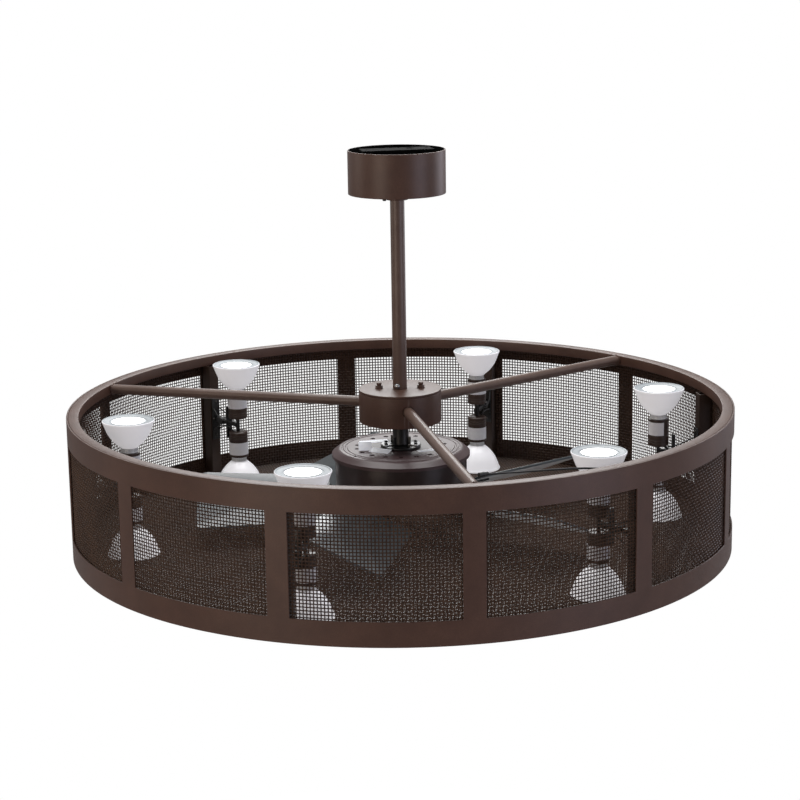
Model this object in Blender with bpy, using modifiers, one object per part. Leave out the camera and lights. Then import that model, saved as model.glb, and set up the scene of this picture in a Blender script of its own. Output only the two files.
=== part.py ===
"""Chandelier ceiling fan: a mesh-walled drum with six twin lamps round a five-blade fan.

Metres, +Z up. The origin is the middle of the ceiling bracket's top face.
The drum's posts, lamps and lamp channels start on +X.
"""
import math

import bmesh
import bpy
from mathutils import Matrix, Vector

MM = 0.001

# Clearances and cuts
SEAT_GAP = 0.3 * MM
CUT_OVERRUN = 2 * MM

# Ceiling end
BRACKET_LENGTH = 130 * MM
BRACKET_WIDTH = 44 * MM
BRACKET_THICKNESS = 4 * MM
BRACKET_SCREW_INSET = 10 * MM
BRACKET_SCREW_RADIUS = 3.2 * MM
BRACKET_WIRE_HOLE_RADIUS = 8 * MM
BRACKET_WIRE_HOLE_OFFSET = 26 * MM
BRACKET_WIRE_HOLE_SIDE = 7 * MM
CRADLE_RADIUS = 44 * MM
CRADLE_THICKNESS = 10 * MM
CRADLE_BORE_RADIUS = 16.5 * MM
BALL_RADIUS = 28 * MM
BALL_DROP = 36 * MM
BALL_BORE_CLEARANCE = 2.3 * MM
PIN_RADIUS = 4 * MM
PIN_END_INSET = 3 * MM

CANOPY_DIAMETER = 177 * MM
CANOPY_HEIGHT = 79 * MM
CANOPY_WALL = 1.6 * MM
CANOPY_CEILING_GAP = 1 * MM
CANOPY_ROD_CLEARANCE = 4 * MM
COLLAR_RADIUS = 20 * MM
COLLAR_HEIGHT = 11 * MM
COLLAR_SCREW_RADIUS = 2.5 * MM
COLLAR_SCREW_RISE = 4 * MM
COLLAR_KNOB_RADIUS = 6 * MM
COLLAR_KNOB_LENGTH = 6.4 * MM
COLLAR_SCREW_TURN = math.radians(179)

ROD_RADIUS = 13 * MM
ROD_WALL = 2.5 * MM
ROD_ABOVE_PIN = 14 * MM
ROD_FLANGE_RADIUS = 24 * MM
ROD_FLANGE_THICKNESS = 4 * MM
ROD_BOLT_RADIUS = 2.6 * MM
ROD_BOLT_HEAD_RADIUS = 5.2 * MM
ROD_BOLT_HEAD_LENGTH = 4 * MM
ROD_BOLT_RISE = 5.8 * MM
ROD_BOLT_TURN = math.radians(237)

# Drum, measured down from its top rim
RIM_DROP = 466 * MM
DRUM_DIAMETER = 1220 * MM
DRUM_HEIGHT = 261 * MM
SHELL_WALL = 3 * MM
TOP_BAND = 42 * MM
BOTTOM_BAND = 43 * MM
WINDOW_COUNT = 12
POST_WIDTH = 38 * MM
WINDOW_TURN = math.radians(-0.6)
TOP_RING_SIZE = 19 * MM
BOTTOM_RING_WIDTH = 19 * MM
BOTTOM_RING_THICKNESS = 3 * MM
NET_THICKNESS = 2 * MM
NET_BAR = 6 * MM
LINER_COLUMNS = 24
LINER_ROWS = 3
GUARD_PITCH = 140 * MM
GUARD_EDGE = 20 * MM

# Hub and spokes
HUB_RADIUS = 76 * MM
HUB_TOP_RISE = 26 * MM
HUB_HEIGHT = 60.5 * MM
HUB_WALL = 2.5 * MM
HUB_COVER_THICKNESS = 4 * MM
HUB_BOLT_OFFSET = 38.5 * MM
HUB_BOLT_RADIUS = 3 * MM
HUB_NUT_RADIUS = 6 * MM
HUB_NUT_HEIGHT = 9 * MM
HUB_BOLT_TURN = math.radians(-11)
SPOKE_COUNT = 3
SPOKE_FIRST_TURN = math.radians(30)
SPOKE_RADIUS = 9.5 * MM
SPOKE_START = 60 * MM
SPOKE_HUB_DROP = 3 * MM

# Lamps and their holders
LAMP_STATIONS = 6
LAMP_INSET = 110 * MM
LAMP_FACE_DROP = 3 * MM
LAMP_RADIUS = 47.5 * MM
LAMP_RIM_HEIGHT = 4 * MM
LAMP_BOWL_HEIGHT = 45 * MM
LAMP_NECK_RADIUS = 15 * MM
LAMP_NECK_HEIGHT = 10.2 * MM
LAMP_BASE_RADIUS = 12.6 * MM
LAMP_BASE_DEPTH_SHARE = 0.5366
LAMP_LENS_INSET = 4 * MM
LAMP_LENS_DEPTH = 1.5 * MM
SOCKET_RADIUS = 19 * MM
SOCKET_GAP = 27.2 * MM
SOCKET_FLOOR = 8 * MM
STEM_RADIUS = 3.5 * MM
STRAP_THICKNESS = 4 * MM
STRAP_WIDTH = 12 * MM
STRAP_OFFSET = 30 * MM
STRAP_HEIGHT = 66 * MM
ARM_WIDTH = 10 * MM
ARM_HEIGHT = 9 * MM
CHANNEL_WIDTH = 22 * MM
CHANNEL_DEPTH = 25 * MM
CHANNEL_WALL = 2 * MM

# Motor, heights measured up from the middle of the blades
STEM_TUBE_RADIUS = 14.8 * MM
STEM_FLANGE_RADIUS = 37 * MM
STEM_FLANGE_THICKNESS = 4 * MM
STEM_TOP_FLANGE_RADIUS = 24 * MM
SHAFT_RADIUS = 8 * MM
SHAFT_IN_STEM = 24 * MM
SHAFT_COLLAR_RADIUS = 11 * MM
SHAFT_COLLAR_HEIGHT = 2.7 * MM
TOP_PLATE_RISE = 97 * MM
TOP_PLATE_OVERHANG = 6 * MM
TOP_PLATE_SHOULDER = 17 * MM
TOP_PLATE_HEIGHT = 16 * MM
TOP_PLATE_WALL = 2 * MM
VENT_COUNT = 18
VENT_INSET = 29 * MM
VENT_RADIUS = 4.4 * MM
VENT_FIRST_TURN = math.radians(18.6)
HOUSING_RADIUS = 122 * MM
HOUSING_WALL = 2 * MM
HOUSING_BOTTOM_RISE = 10 * MM
STATOR_TOP_RISE = 72 * MM
STATOR_PLATE_THICKNESS = 5 * MM
STATOR_INNER_RADIUS = 48 * MM
STATOR_BOTTOM_RISE = 22 * MM
ROTOR_HOUSING_GAP = 9 * MM
ROTOR_AIR_GAP = 2 * MM
ROTOR_WALL = 5 * MM
ROTOR_RIM_RISE = 64 * MM
ROTOR_FLOOR_THICKNESS = 6 * MM
ROTOR_BOTTOM_RISE = 5 * MM
ROTOR_BOSS_WALL = 5 * MM
ROTOR_BOSS_TOP_RISE = 58 * MM
BEARING_RADIUS = 17 * MM
BEARING_HEIGHT = 8 * MM
BEARING_SHOULDER = 3 * MM
CAP_RADIUS = 46 * MM
CAP_HEIGHT = 22 * MM
CAP_WALL = 2 * MM
CAP_BOSS_RADIUS = 13 * MM
CAP_CLEARANCE = 4 * MM

# Blades
BLADE_COUNT = 5
BLADE_FIRST_TURN = math.radians(25.5)
BLADE_TIP_INSET = 120 * MM
BLADE_ROOT_GAP = 12 * MM
BLADE_CHORD = 168 * MM
BLADE_ROOT_CHORD = 136 * MM
BLADE_THICKNESS = 5 * MM
BLADE_CORNER = 14 * MM
BLADE_PITCH = math.radians(23)
BLADE_DEPTH_SHARE = 0.69732
CARRIER_INSET = 18 * MM
CARRIER_BORE_RADIUS = 22 * MM
CARRIER_THICKNESS = 5 * MM
ARM_PLATE_THICKNESS = 3 * MM
ARM_PLATE_WIDTH = 58 * MM
ARM_PLATE_REACH = 70 * MM
ARM_PLATE_OVERHANG = 8 * MM
ARM_NECK_WIDTH = 30 * MM
ARM_NECK_HEIGHT = 12 * MM
ARM_NECK_OVERLAP = 26 * MM
ARM_NECK_INSET = 2 * MM

# Lamp lead from the front spoke to the next channel
LEAD_RADIUS = 1.8 * MM
LEAD_STEPS = 10
LEAD_RISE = 3.5 * MM
LEAD_SPOKE_SIDE = 12.5 * MM
LEAD_SPOKE_INSET = 34 * MM
LEAD_CHANNEL_DROP = 26 * MM
LEAD_CHANNEL_SIDE = 14 * MM
LEAD_SAG_SHARE = 0.02

# Facets
BIG_SEGMENTS = 72
MID_SEGMENTS = 32
SMALL_SEGMENTS = 20
LAMP_SEGMENTS = 12
HOLE_SEGMENTS = 8
ARC_STEPS = 4
SHARP_ANGLE = math.radians(35)
MERGE_DISTANCE = 0.00001

SHELL_RADIUS = DRUM_DIAMETER / 2
SHELL_INNER = SHELL_RADIUS - SHELL_WALL
RING_OUTER = SHELL_INNER - SEAT_GAP
LINER_OUTER = SHELL_INNER * math.cos(math.pi / BIG_SEGMENTS) - SEAT_GAP
LINER_INNER = LINER_OUTER - NET_THICKNESS
LAMP_CIRCLE_RADIUS = SHELL_RADIUS - LAMP_INSET
BLADE_TIP_RADIUS = LAMP_CIRCLE_RADIUS - BLADE_TIP_INSET
BLADE_ROOT_RADIUS = HOUSING_RADIUS + BLADE_ROOT_GAP
TOP_PLATE_RADIUS = HOUSING_RADIUS + TOP_PLATE_OVERHANG
TOP_PLATE_FLAT_RADIUS = TOP_PLATE_RADIUS - TOP_PLATE_SHOULDER
VENT_CIRCLE_RADIUS = TOP_PLATE_FLAT_RADIUS - VENT_INSET
ROTOR_RADIUS = HOUSING_RADIUS - HOUSING_WALL - ROTOR_HOUSING_GAP
STATOR_OUTER_RADIUS = ROTOR_RADIUS - ROTOR_WALL - ROTOR_AIR_GAP
CARRIER_RADIUS = HOUSING_RADIUS - CARRIER_INSET
RIM_Z = -RIM_DROP
DRUM_BOTTOM_Z = RIM_Z - DRUM_HEIGHT
RING_BOTTOM_Z = RIM_Z - TOP_RING_SIZE
GUARD_BOTTOM_Z = DRUM_BOTTOM_Z + BOTTOM_RING_THICKNESS + SEAT_GAP
GUARD_TOP_Z = GUARD_BOTTOM_Z + NET_THICKNESS
HUB_TOP_Z = RIM_Z + HUB_TOP_RISE
HUB_BOTTOM_Z = HUB_TOP_Z - HUB_HEIGHT
HUB_FLOOR_Z = HUB_BOTTOM_Z + HUB_WALL
BLADE_Z = RIM_Z - DRUM_HEIGHT * BLADE_DEPTH_SHARE
TOP_PLATE_Z = BLADE_Z + TOP_PLATE_RISE
BALL_Z = -BALL_DROP
CANOPY_FLOOR_Z = -CANOPY_CEILING_GAP - CANOPY_HEIGHT
ROTOR_BOTTOM_Z = BLADE_Z + ROTOR_BOTTOM_RISE
CARRIER_TOP_Z = ROTOR_BOTTOM_Z - SEAT_GAP
LAMP_LENGTH = LAMP_RIM_HEIGHT + LAMP_BOWL_HEIGHT + LAMP_NECK_HEIGHT
LAMP_FACE_Z = RIM_Z - LAMP_FACE_DROP
LAMP_LOW_FACE_Z = GUARD_TOP_Z + LAMP_FACE_DROP / 2
LAMP_MIDDLE_Z = (LAMP_FACE_Z + LAMP_LOW_FACE_Z) / 2
SOCKET_MOUTH_RISE = LAMP_FACE_Z - LAMP_LENGTH - SEAT_GAP - LAMP_MIDDLE_Z
SOCKET_HEIGHT = SOCKET_MOUTH_RISE - SOCKET_GAP / 2
LAMP_BASE_HEIGHT = (SOCKET_HEIGHT - SOCKET_FLOOR) * LAMP_BASE_DEPTH_SHARE


def new_collection(name):
    collection = bpy.data.collections.new(name)
    bpy.context.scene.collection.children.link(collection)
    return collection


def clear_scene():
    for obj in list(bpy.data.objects):
        bpy.data.objects.remove(obj, do_unlink=True)


def paint(name, colour, roughness, metallic):
    """A Principled material of one colour."""
    material = bpy.data.materials.new(name)
    material.use_nodes = True
    shader = material.node_tree.nodes["Principled BSDF"]
    shader.inputs["Base Color"].default_value = (*colour, 1.0)
    shader.inputs["Roughness"].default_value = roughness
    shader.inputs["Metallic"].default_value = metallic
    return material


def finish_colours():
    return {
        "bronze": ((0.055, 0.038, 0.031), 0.45, 0.2),
        "black": ((0.012, 0.012, 0.012), 0.4, 0.1),
        "lid": ((0.09, 0.055, 0.052), 0.25, 0.6),
        "steel": ((0.6, 0.6, 0.6), 0.3, 1.0),
        "blade": ((0.06, 0.065, 0.07), 0.3, 0.0),
        "lamp": ((0.85, 0.86, 0.88), 0.35, 0.0),
        "copper": ((0.5, 0.25, 0.12), 0.4, 0.8),
    }


class Shop:
    """Where pieces and cutters go, and the finishes they take."""

    def __init__(self):
        self.parts = new_collection("chandelier_ceiling_fan")
        self.cutters = new_collection("cutters")
        self.colours = finish_colours()

    def dress(self, obj, finish):
        colour, roughness, metallic = self.colours[finish]
        obj.data.materials.clear()
        obj.data.materials.append(paint(obj.name, colour, roughness, metallic))

    def piece(self, name, mesh, finish):
        obj = bpy.data.objects.new(name, mesh)
        self.parts.objects.link(obj)
        self.dress(obj, finish)
        return obj

    def cutter(self, name, mesh):
        obj = bpy.data.objects.new(name, mesh)
        self.cutters.objects.link(obj)
        obj.hide_render = True
        obj.display_type = "WIRE"
        return obj


def smooth(mesh):
    mesh.shade_smooth()
    mesh.set_sharp_from_angle(angle=SHARP_ANGLE)


def bmesh_to_mesh(shape, name):
    mesh = bpy.data.meshes.new(name)
    shape.to_mesh(mesh)
    shape.free()
    return mesh


def add_cylinder(shape, radius, length, segments, matrix):
    """A closed cylinder centred on the matrix, along its Z."""
    bmesh.ops.create_cone(shape, cap_ends=True, segments=segments, radius1=radius,
                          radius2=radius, depth=length, matrix=matrix)


def add_box(shape, size, matrix):
    """A box of three sizes centred on the matrix."""
    bmesh.ops.create_cube(shape, size=1.0, matrix=matrix @ Matrix.Diagonal((*size, 1.0)))


def cylinder_mesh(name, radius, length, segments, matrix):
    shape = bmesh.new()
    add_cylinder(shape, radius, length, segments, matrix)
    mesh = bmesh_to_mesh(shape, name)
    smooth(mesh)
    return mesh


def box_mesh(name, size, matrix):
    shape = bmesh.new()
    add_box(shape, size, matrix)
    return bmesh_to_mesh(shape, name)


def turn_about_z(angle):
    return Matrix.Rotation(angle, 4, "Z")


def at(x, y, z):
    return Matrix.Translation((x, y, z))


def along_x():
    return Matrix.Rotation(math.radians(90), 4, "Y")


def along_y():
    return Matrix.Rotation(math.radians(90), 4, "X")


def between(start, end):
    """Matrix at the middle of two points, its Z along the line that joins them."""
    start = Vector(start)
    end = Vector(end)
    middle = (start + end) / 2
    turn = (end - start).to_track_quat("Z", "Y").to_matrix().to_4x4()
    return Matrix.Translation(middle) @ turn


def profile_mesh(name, points, closed):
    """Edges in the XZ plane from (radius, height) pairs, none of them along the axis."""
    mesh = bpy.data.meshes.new(name)
    verts = [(radius, 0, height) for radius, height in points]
    edges = [(i, i + 1) for i in range(len(points) - 1) if points[i][0] or points[i + 1][0]]
    if closed:
        edges.append((len(points) - 1, 0))
    mesh.from_pydata(verts, edges, [])
    return mesh


def add_screw(obj, segments):
    screw = obj.modifiers.new("turn", "SCREW")
    screw.axis = "Z"
    screw.angle = math.tau
    screw.steps = segments
    screw.render_steps = segments
    screw.use_merge_vertices = True
    screw.merge_threshold = MERGE_DISTANCE
    return screw


def turned(shop, name, points, finish, segments, closed=True, cutter=False):
    """A turned piece: the profile goes down its outer side, then back up inside."""
    mesh = profile_mesh(name, points, closed)
    obj = shop.cutter(name, mesh) if cutter else shop.piece(name, mesh, finish)
    add_screw(obj, segments)
    return settle(obj)


def settle(obj):
    """Applies the modifiers, so that later cuts start from one plain closed mesh."""
    graph = bpy.context.evaluated_depsgraph_get()
    mesh = bpy.data.meshes.new_from_object(obj.evaluated_get(graph))
    mesh.name = obj.name
    shape = bmesh.new()
    shape.from_mesh(mesh)
    bmesh.ops.remove_doubles(shape, verts=shape.verts, dist=MERGE_DISTANCE)
    bmesh.ops.recalc_face_normals(shape, faces=shape.faces)
    shape.to_mesh(mesh)
    shape.free()
    obj.modifiers.clear()
    obj.data = mesh
    smooth(mesh)
    return obj


def add_boolean(obj, other, operation):
    boolean = obj.modifiers.new(operation.lower(), "BOOLEAN")
    boolean.operation = operation
    boolean.object = other
    boolean.solver = "EXACT"


def cut(obj, cutter):
    add_boolean(obj, cutter, "DIFFERENCE")


def join(obj, other):
    add_boolean(obj, other, "UNION")


def arc(centre, radii, start, end, steps):
    """Points on an ellipse's arc, as (radius, height) pairs, angles from the outer side."""
    points = []
    for i in range(steps + 1):
        angle = start + (end - start) * i / steps
        points.append((centre[0] + radii[0] * math.cos(angle), centre[1] + radii[1] * math.sin(angle)))
    return points


def ring_points(inner, outer, bottom, top):
    return [(outer, top), (outer, bottom), (inner, bottom), (inner, top)]


def build_bracket(shop):
    """Ceiling plate, two legs and the ring that the ball hangs in, in one piece."""
    seat = (BALL_RADIUS + SEAT_GAP) / math.sqrt(2)
    seat_z = BALL_Z - seat
    bore_z = seat_z - (seat - CRADLE_BORE_RADIUS)
    lip_radius = seat + (seat - CRADLE_BORE_RADIUS)
    lip_z = seat_z + (seat - CRADLE_BORE_RADIUS)
    cradle_bottom = lip_z - CRADLE_THICKNESS
    points = [(CRADLE_RADIUS, lip_z), (CRADLE_RADIUS, cradle_bottom), (CRADLE_BORE_RADIUS, cradle_bottom),
              (CRADLE_BORE_RADIUS, bore_z), (lip_radius, lip_z)]
    bracket = turned(shop, "ceiling_bracket", points, "black", MID_SEGMENTS)
    plate_z = -BRACKET_THICKNESS / 2
    plate_size = (BRACKET_LENGTH, BRACKET_WIDTH, BRACKET_THICKNESS)
    plate = shop.cutter("bracket_plate_form", box_mesh("bracket_plate_form", plate_size, at(0, 0, plate_z)))
    join(bracket, plate)
    leg_bottom = lip_z - CRADLE_THICKNESS / 2
    leg_height = plate_z - leg_bottom
    leg_x = CRADLE_RADIUS - BRACKET_THICKNESS
    leg_width = BRACKET_WIDTH / 2
    for side in (-1, 1):
        name = "bracket_leg_form_" + ("left" if side < 0 else "right")
        matrix = at(side * leg_x, 0, leg_bottom + leg_height / 2)
        leg = shop.cutter(name, box_mesh(name, (BRACKET_THICKNESS, leg_width, leg_height), matrix))
        join(bracket, leg)
    shape = bmesh.new()
    for side in (-1, 1):
        matrix = at(side * (BRACKET_LENGTH / 2 - BRACKET_SCREW_INSET), 0, plate_z)
        add_cylinder(shape, BRACKET_SCREW_RADIUS, BRACKET_THICKNESS + CUT_OVERRUN, HOLE_SEGMENTS, matrix)
    add_cylinder(shape, BRACKET_WIRE_HOLE_RADIUS, BRACKET_THICKNESS + CUT_OVERRUN, HOLE_SEGMENTS,
                 at(BRACKET_WIRE_HOLE_OFFSET, BRACKET_WIRE_HOLE_SIDE, plate_z))
    cut(bracket, shop.cutter("bracket_holes", bmesh_to_mesh(shape, "bracket_holes")))


def build_hanger(shop):
    """The ball on the top of the rod and the cross pin that carries the rod."""
    bore = ROD_RADIUS + BALL_BORE_CLEARANCE
    start = math.acos(bore / BALL_RADIUS)
    points = arc((0, 0), (BALL_RADIUS, BALL_RADIUS), start, -start, ARC_STEPS * 2)
    ball = turned(shop, "hanger_ball", points, "black", SMALL_SEGMENTS)
    ball.location.z = BALL_Z
    pin_length = 2 * (BALL_RADIUS - PIN_END_INSET)
    hole = cylinder_mesh("ball_pin_hole", PIN_RADIUS + SEAT_GAP, BALL_RADIUS * 2 + CUT_OVERRUN,
                         HOLE_SEGMENTS, at(0, 0, BALL_Z) @ along_y())
    cut(ball, shop.cutter("ball_pin_hole", hole))
    pin_mesh = cylinder_mesh("hanger_pin", PIN_RADIUS, pin_length, HOLE_SEGMENTS, along_y())
    pin = shop.piece("hanger_pin", pin_mesh, "steel")
    pin.location.z = BALL_Z


def build_canopy(shop):
    """Open-topped cup, and the collar with its set screw that holds it up on the rod."""
    radius = CANOPY_DIAMETER / 2
    inner = radius - CANOPY_WALL
    hole = ROD_RADIUS + CANOPY_ROD_CLEARANCE
    top = -CANOPY_CEILING_GAP
    floor_top = CANOPY_FLOOR_Z + CANOPY_WALL
    points = [(radius, top), (radius, CANOPY_FLOOR_Z), (hole, CANOPY_FLOOR_Z),
              (hole, floor_top), (inner, floor_top), (inner, top)]
    turned(shop, "canopy", points, "bronze", MID_SEGMENTS)
    collar_top = CANOPY_FLOOR_Z - SEAT_GAP
    collar_bottom = collar_top - COLLAR_HEIGHT
    points = ring_points(ROD_RADIUS + SEAT_GAP, COLLAR_RADIUS, collar_bottom, collar_top)
    collar = turned(shop, "canopy_collar", points, "bronze", SMALL_SEGMENTS)
    screw_z = collar_bottom + COLLAR_SCREW_RISE
    turn = turn_about_z(COLLAR_SCREW_TURN)
    inner_end = ROD_RADIUS + SEAT_GAP
    outer_end = COLLAR_RADIUS + SEAT_GAP + COLLAR_KNOB_LENGTH
    matrix = turn @ at((inner_end + COLLAR_RADIUS) / 2, 0, screw_z) @ along_x()
    hole_mesh = cylinder_mesh("collar_hole", COLLAR_SCREW_RADIUS + SEAT_GAP, COLLAR_RADIUS, HOLE_SEGMENTS,
                              matrix)
    cut(collar, shop.cutter("collar_hole", hole_mesh))
    shape = bmesh.new()
    shank_length = outer_end - inner_end
    shank_at = turn @ at(inner_end + shank_length / 2, 0, screw_z) @ along_x()
    add_cylinder(shape, COLLAR_SCREW_RADIUS, shank_length, HOLE_SEGMENTS, shank_at)
    screw = shop.piece("collar_screw", bmesh_to_mesh(shape, "collar_screw"), "black")
    knob_at = turn @ at(outer_end - COLLAR_KNOB_LENGTH / 2, 0, screw_z) @ along_x()
    knob = cylinder_mesh("collar_knob_form", COLLAR_KNOB_RADIUS, COLLAR_KNOB_LENGTH, HOLE_SEGMENTS, knob_at)
    join(screw, shop.cutter("collar_knob_form", knob))


def build_rod(shop):
    """Hollow downrod with the foot flange that carries the hub cover, and its cross bolt."""
    top = BALL_Z + ROD_ABOVE_PIN
    cover_bottom = HUB_TOP_Z - HUB_COVER_THICKNESS
    flange_top = cover_bottom - SEAT_GAP
    bottom = flange_top - ROD_FLANGE_THICKNESS
    inner = ROD_RADIUS - ROD_WALL
    points = [(ROD_RADIUS, top), (ROD_RADIUS, flange_top), (ROD_FLANGE_RADIUS, flange_top),
              (ROD_FLANGE_RADIUS, bottom), (inner, bottom), (inner, top)]
    rod = turned(shop, "downrod", points, "bronze", SMALL_SEGMENTS)
    pin_hole = cylinder_mesh("rod_pin_hole", PIN_RADIUS + SEAT_GAP, ROD_RADIUS * 2 + CUT_OVERRUN,
                             HOLE_SEGMENTS, at(0, 0, BALL_Z) @ along_y())
    cut(rod, shop.cutter("rod_pin_hole", pin_hole))
    bolt_z = HUB_TOP_Z + ROD_BOLT_RISE
    turn = turn_about_z(ROD_BOLT_TURN)
    bolt_hole = cylinder_mesh("rod_bolt_hole", ROD_BOLT_RADIUS + SEAT_GAP, ROD_RADIUS * 2 + CUT_OVERRUN,
                              HOLE_SEGMENTS, turn @ at(0, 0, bolt_z) @ along_x())
    cut(rod, shop.cutter("rod_bolt_hole", bolt_hole))
    reach = ROD_RADIUS + SEAT_GAP + ROD_BOLT_HEAD_LENGTH
    shank = cylinder_mesh("rod_bolt", ROD_BOLT_RADIUS, 2 * reach, HOLE_SEGMENTS,
                          turn @ at(0, 0, bolt_z) @ along_x())
    bolt = shop.piece("rod_bolt", shank, "steel")
    for side in (-1, 1):
        name = "bolt_end_form_" + ("back" if side < 0 else "front")
        matrix = turn @ at(side * (reach - ROD_BOLT_HEAD_LENGTH / 2), 0, bolt_z) @ along_x()
        head = cylinder_mesh(name, ROD_BOLT_HEAD_RADIUS, ROD_BOLT_HEAD_LENGTH, HOLE_SEGMENTS, matrix)
        join(bolt, shop.cutter(name, head))


def hub_bolt_matrix(index):
    return turn_about_z(HUB_BOLT_TURN + math.pi * index) @ at(HUB_BOLT_OFFSET, 0, 0)


def spoke_ends(index):
    """The two ends of a spoke's axis: inside the hub, and at the top ring's inner face."""
    ring_inner = RING_OUTER - TOP_RING_SIZE
    fall = TOP_RING_SIZE / 2 - SPOKE_HUB_DROP
    lean = math.atan2(fall, ring_inner - SPOKE_START)
    facet_allowance = SPOKE_RADIUS * (math.tan(math.pi / BIG_SEGMENTS) + math.sin(abs(lean)))
    end = ring_inner - facet_allowance - SEAT_GAP
    turn = turn_about_z(SPOKE_FIRST_TURN + math.tau * index / SPOKE_COUNT)
    start_point = turn @ Vector((SPOKE_START, 0, RIM_Z - SPOKE_HUB_DROP))
    end_point = turn @ Vector((end, 0, RIM_Z - SPOKE_HUB_DROP - fall))
    return start_point, end_point


def build_hub(shop):
    """Hub drum, its top disc, the two stud bolts with cap nuts, and the spokes."""
    wall_top = HUB_TOP_Z - HUB_COVER_THICKNESS - SEAT_GAP
    inner = HUB_RADIUS - HUB_WALL
    bore = STEM_TUBE_RADIUS + SEAT_GAP
    points = [(HUB_RADIUS, wall_top), (HUB_RADIUS, HUB_BOTTOM_Z), (bore, HUB_BOTTOM_Z),
              (bore, HUB_FLOOR_Z), (inner, HUB_FLOOR_Z), (inner, wall_top)]
    hub = turned(shop, "hub_shell", points, "bronze", MID_SEGMENTS)
    cover_bottom = HUB_TOP_Z - HUB_COVER_THICKNESS
    cover_points = ring_points(ROD_RADIUS + SEAT_GAP, HUB_RADIUS, cover_bottom, HUB_TOP_Z)
    cover = turned(shop, "hub_cover", cover_points, "bronze", MID_SEGMENTS)
    holes = bmesh.new()
    for index in range(2):
        hole_at = hub_bolt_matrix(index) @ at(0, 0, (HUB_TOP_Z + HUB_BOTTOM_Z) / 2)
        add_cylinder(holes, HUB_BOLT_RADIUS + SEAT_GAP, HUB_HEIGHT + CUT_OVERRUN, HOLE_SEGMENTS, hole_at)
    bolt_holes = shop.cutter("hub_bolt_holes", bmesh_to_mesh(holes, "hub_bolt_holes"))
    cut(cover, bolt_holes)
    cut(hub, bolt_holes)
    nut_bottom = HUB_TOP_Z + SEAT_GAP
    for index in range(2):
        name = "hub_bolt_" + str(index + 1)
        length = nut_bottom + HUB_NUT_HEIGHT / 2 - HUB_BOTTOM_Z
        shank_at = hub_bolt_matrix(index) @ at(0, 0, HUB_BOTTOM_Z + length / 2)
        shank = cylinder_mesh(name, HUB_BOLT_RADIUS, length, HOLE_SEGMENTS, shank_at)
        bolt = shop.piece(name, shank, "bronze")
        points = [(0, nut_bottom + HUB_NUT_HEIGHT), (HUB_NUT_RADIUS / 2, nut_bottom + HUB_NUT_HEIGHT),
                  (HUB_NUT_RADIUS, nut_bottom + HUB_NUT_HEIGHT * 2 / 3), (HUB_NUT_RADIUS, nut_bottom),
                  (0, nut_bottom)]
        form = turned(shop, "cap_nut_form_" + str(index + 1), points, "bronze", 6, closed=False, cutter=True)
        form.data.transform(hub_bolt_matrix(index))
        join(bolt, form)
    spoke_holes = bmesh.new()
    for index in range(SPOKE_COUNT):
        start, end = spoke_ends(index)
        matrix = between(start, end)
        length = (end - start).length
        name = "spoke_" + str(index + 1)
        shop.piece(name, cylinder_mesh(name, SPOKE_RADIUS, length, SMALL_SEGMENTS, matrix), "bronze")
        add_cylinder(spoke_holes, SPOKE_RADIUS + SEAT_GAP, length, SMALL_SEGMENTS, matrix)
    cut(hub, shop.cutter("spoke_holes", bmesh_to_mesh(spoke_holes, "spoke_holes")))


def build_drum(shop):
    """Top ring, windowed shell and bottom ring."""
    points = ring_points(RING_OUTER - TOP_RING_SIZE, RING_OUTER, RING_BOTTOM_Z, RIM_Z)
    turned(shop, "top_ring", points, "bronze", BIG_SEGMENTS)
    ring_top = DRUM_BOTTOM_Z + BOTTOM_RING_THICKNESS
    points = ring_points(RING_OUTER - BOTTOM_RING_WIDTH, RING_OUTER, DRUM_BOTTOM_Z, ring_top)
    turned(shop, "bottom_ring", points, "bronze", BIG_SEGMENTS)
    points = ring_points(SHELL_INNER, SHELL_RADIUS, DRUM_BOTTOM_Z, RIM_Z)
    shell = turned(shop, "drum_shell", points, "bronze", BIG_SEGMENTS)
    window_height = DRUM_HEIGHT - TOP_BAND - BOTTOM_BAND
    window_z = DRUM_BOTTOM_Z + BOTTOM_BAND + window_height / 2
    spread = math.tau / WINDOW_COUNT - POST_WIDTH / SHELL_RADIUS
    inner = SHELL_INNER - SHELL_WALL
    outer = SHELL_RADIUS + SHELL_WALL
    steps = BIG_SEGMENTS // WINDOW_COUNT
    holes = bmesh.new()
    for index in range(WINDOW_COUNT):
        middle = WINDOW_TURN + math.tau * (index + 0.5) / WINDOW_COUNT
        angles = [middle - spread / 2 + spread * i / steps for i in range(steps + 1)]
        corners = [(outer * math.cos(a), outer * math.sin(a)) for a in angles]
        corners += [(inner * math.cos(a), inner * math.sin(a)) for a in reversed(angles)]
        low = [holes.verts.new((x, y, window_z - window_height / 2)) for x, y in corners]
        high = [holes.verts.new((x, y, window_z + window_height / 2)) for x, y in corners]
        holes.faces.new(list(reversed(low)))
        holes.faces.new(high)
        for i in range(len(low)):
            j = (i + 1) % len(low)
            holes.faces.new((low[i], low[j], high[j], high[i]))
    bmesh.ops.recalc_face_normals(holes, faces=holes.faces)
    cut(shell, shop.cutter("windows", bmesh_to_mesh(holes, "windows")))


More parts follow.
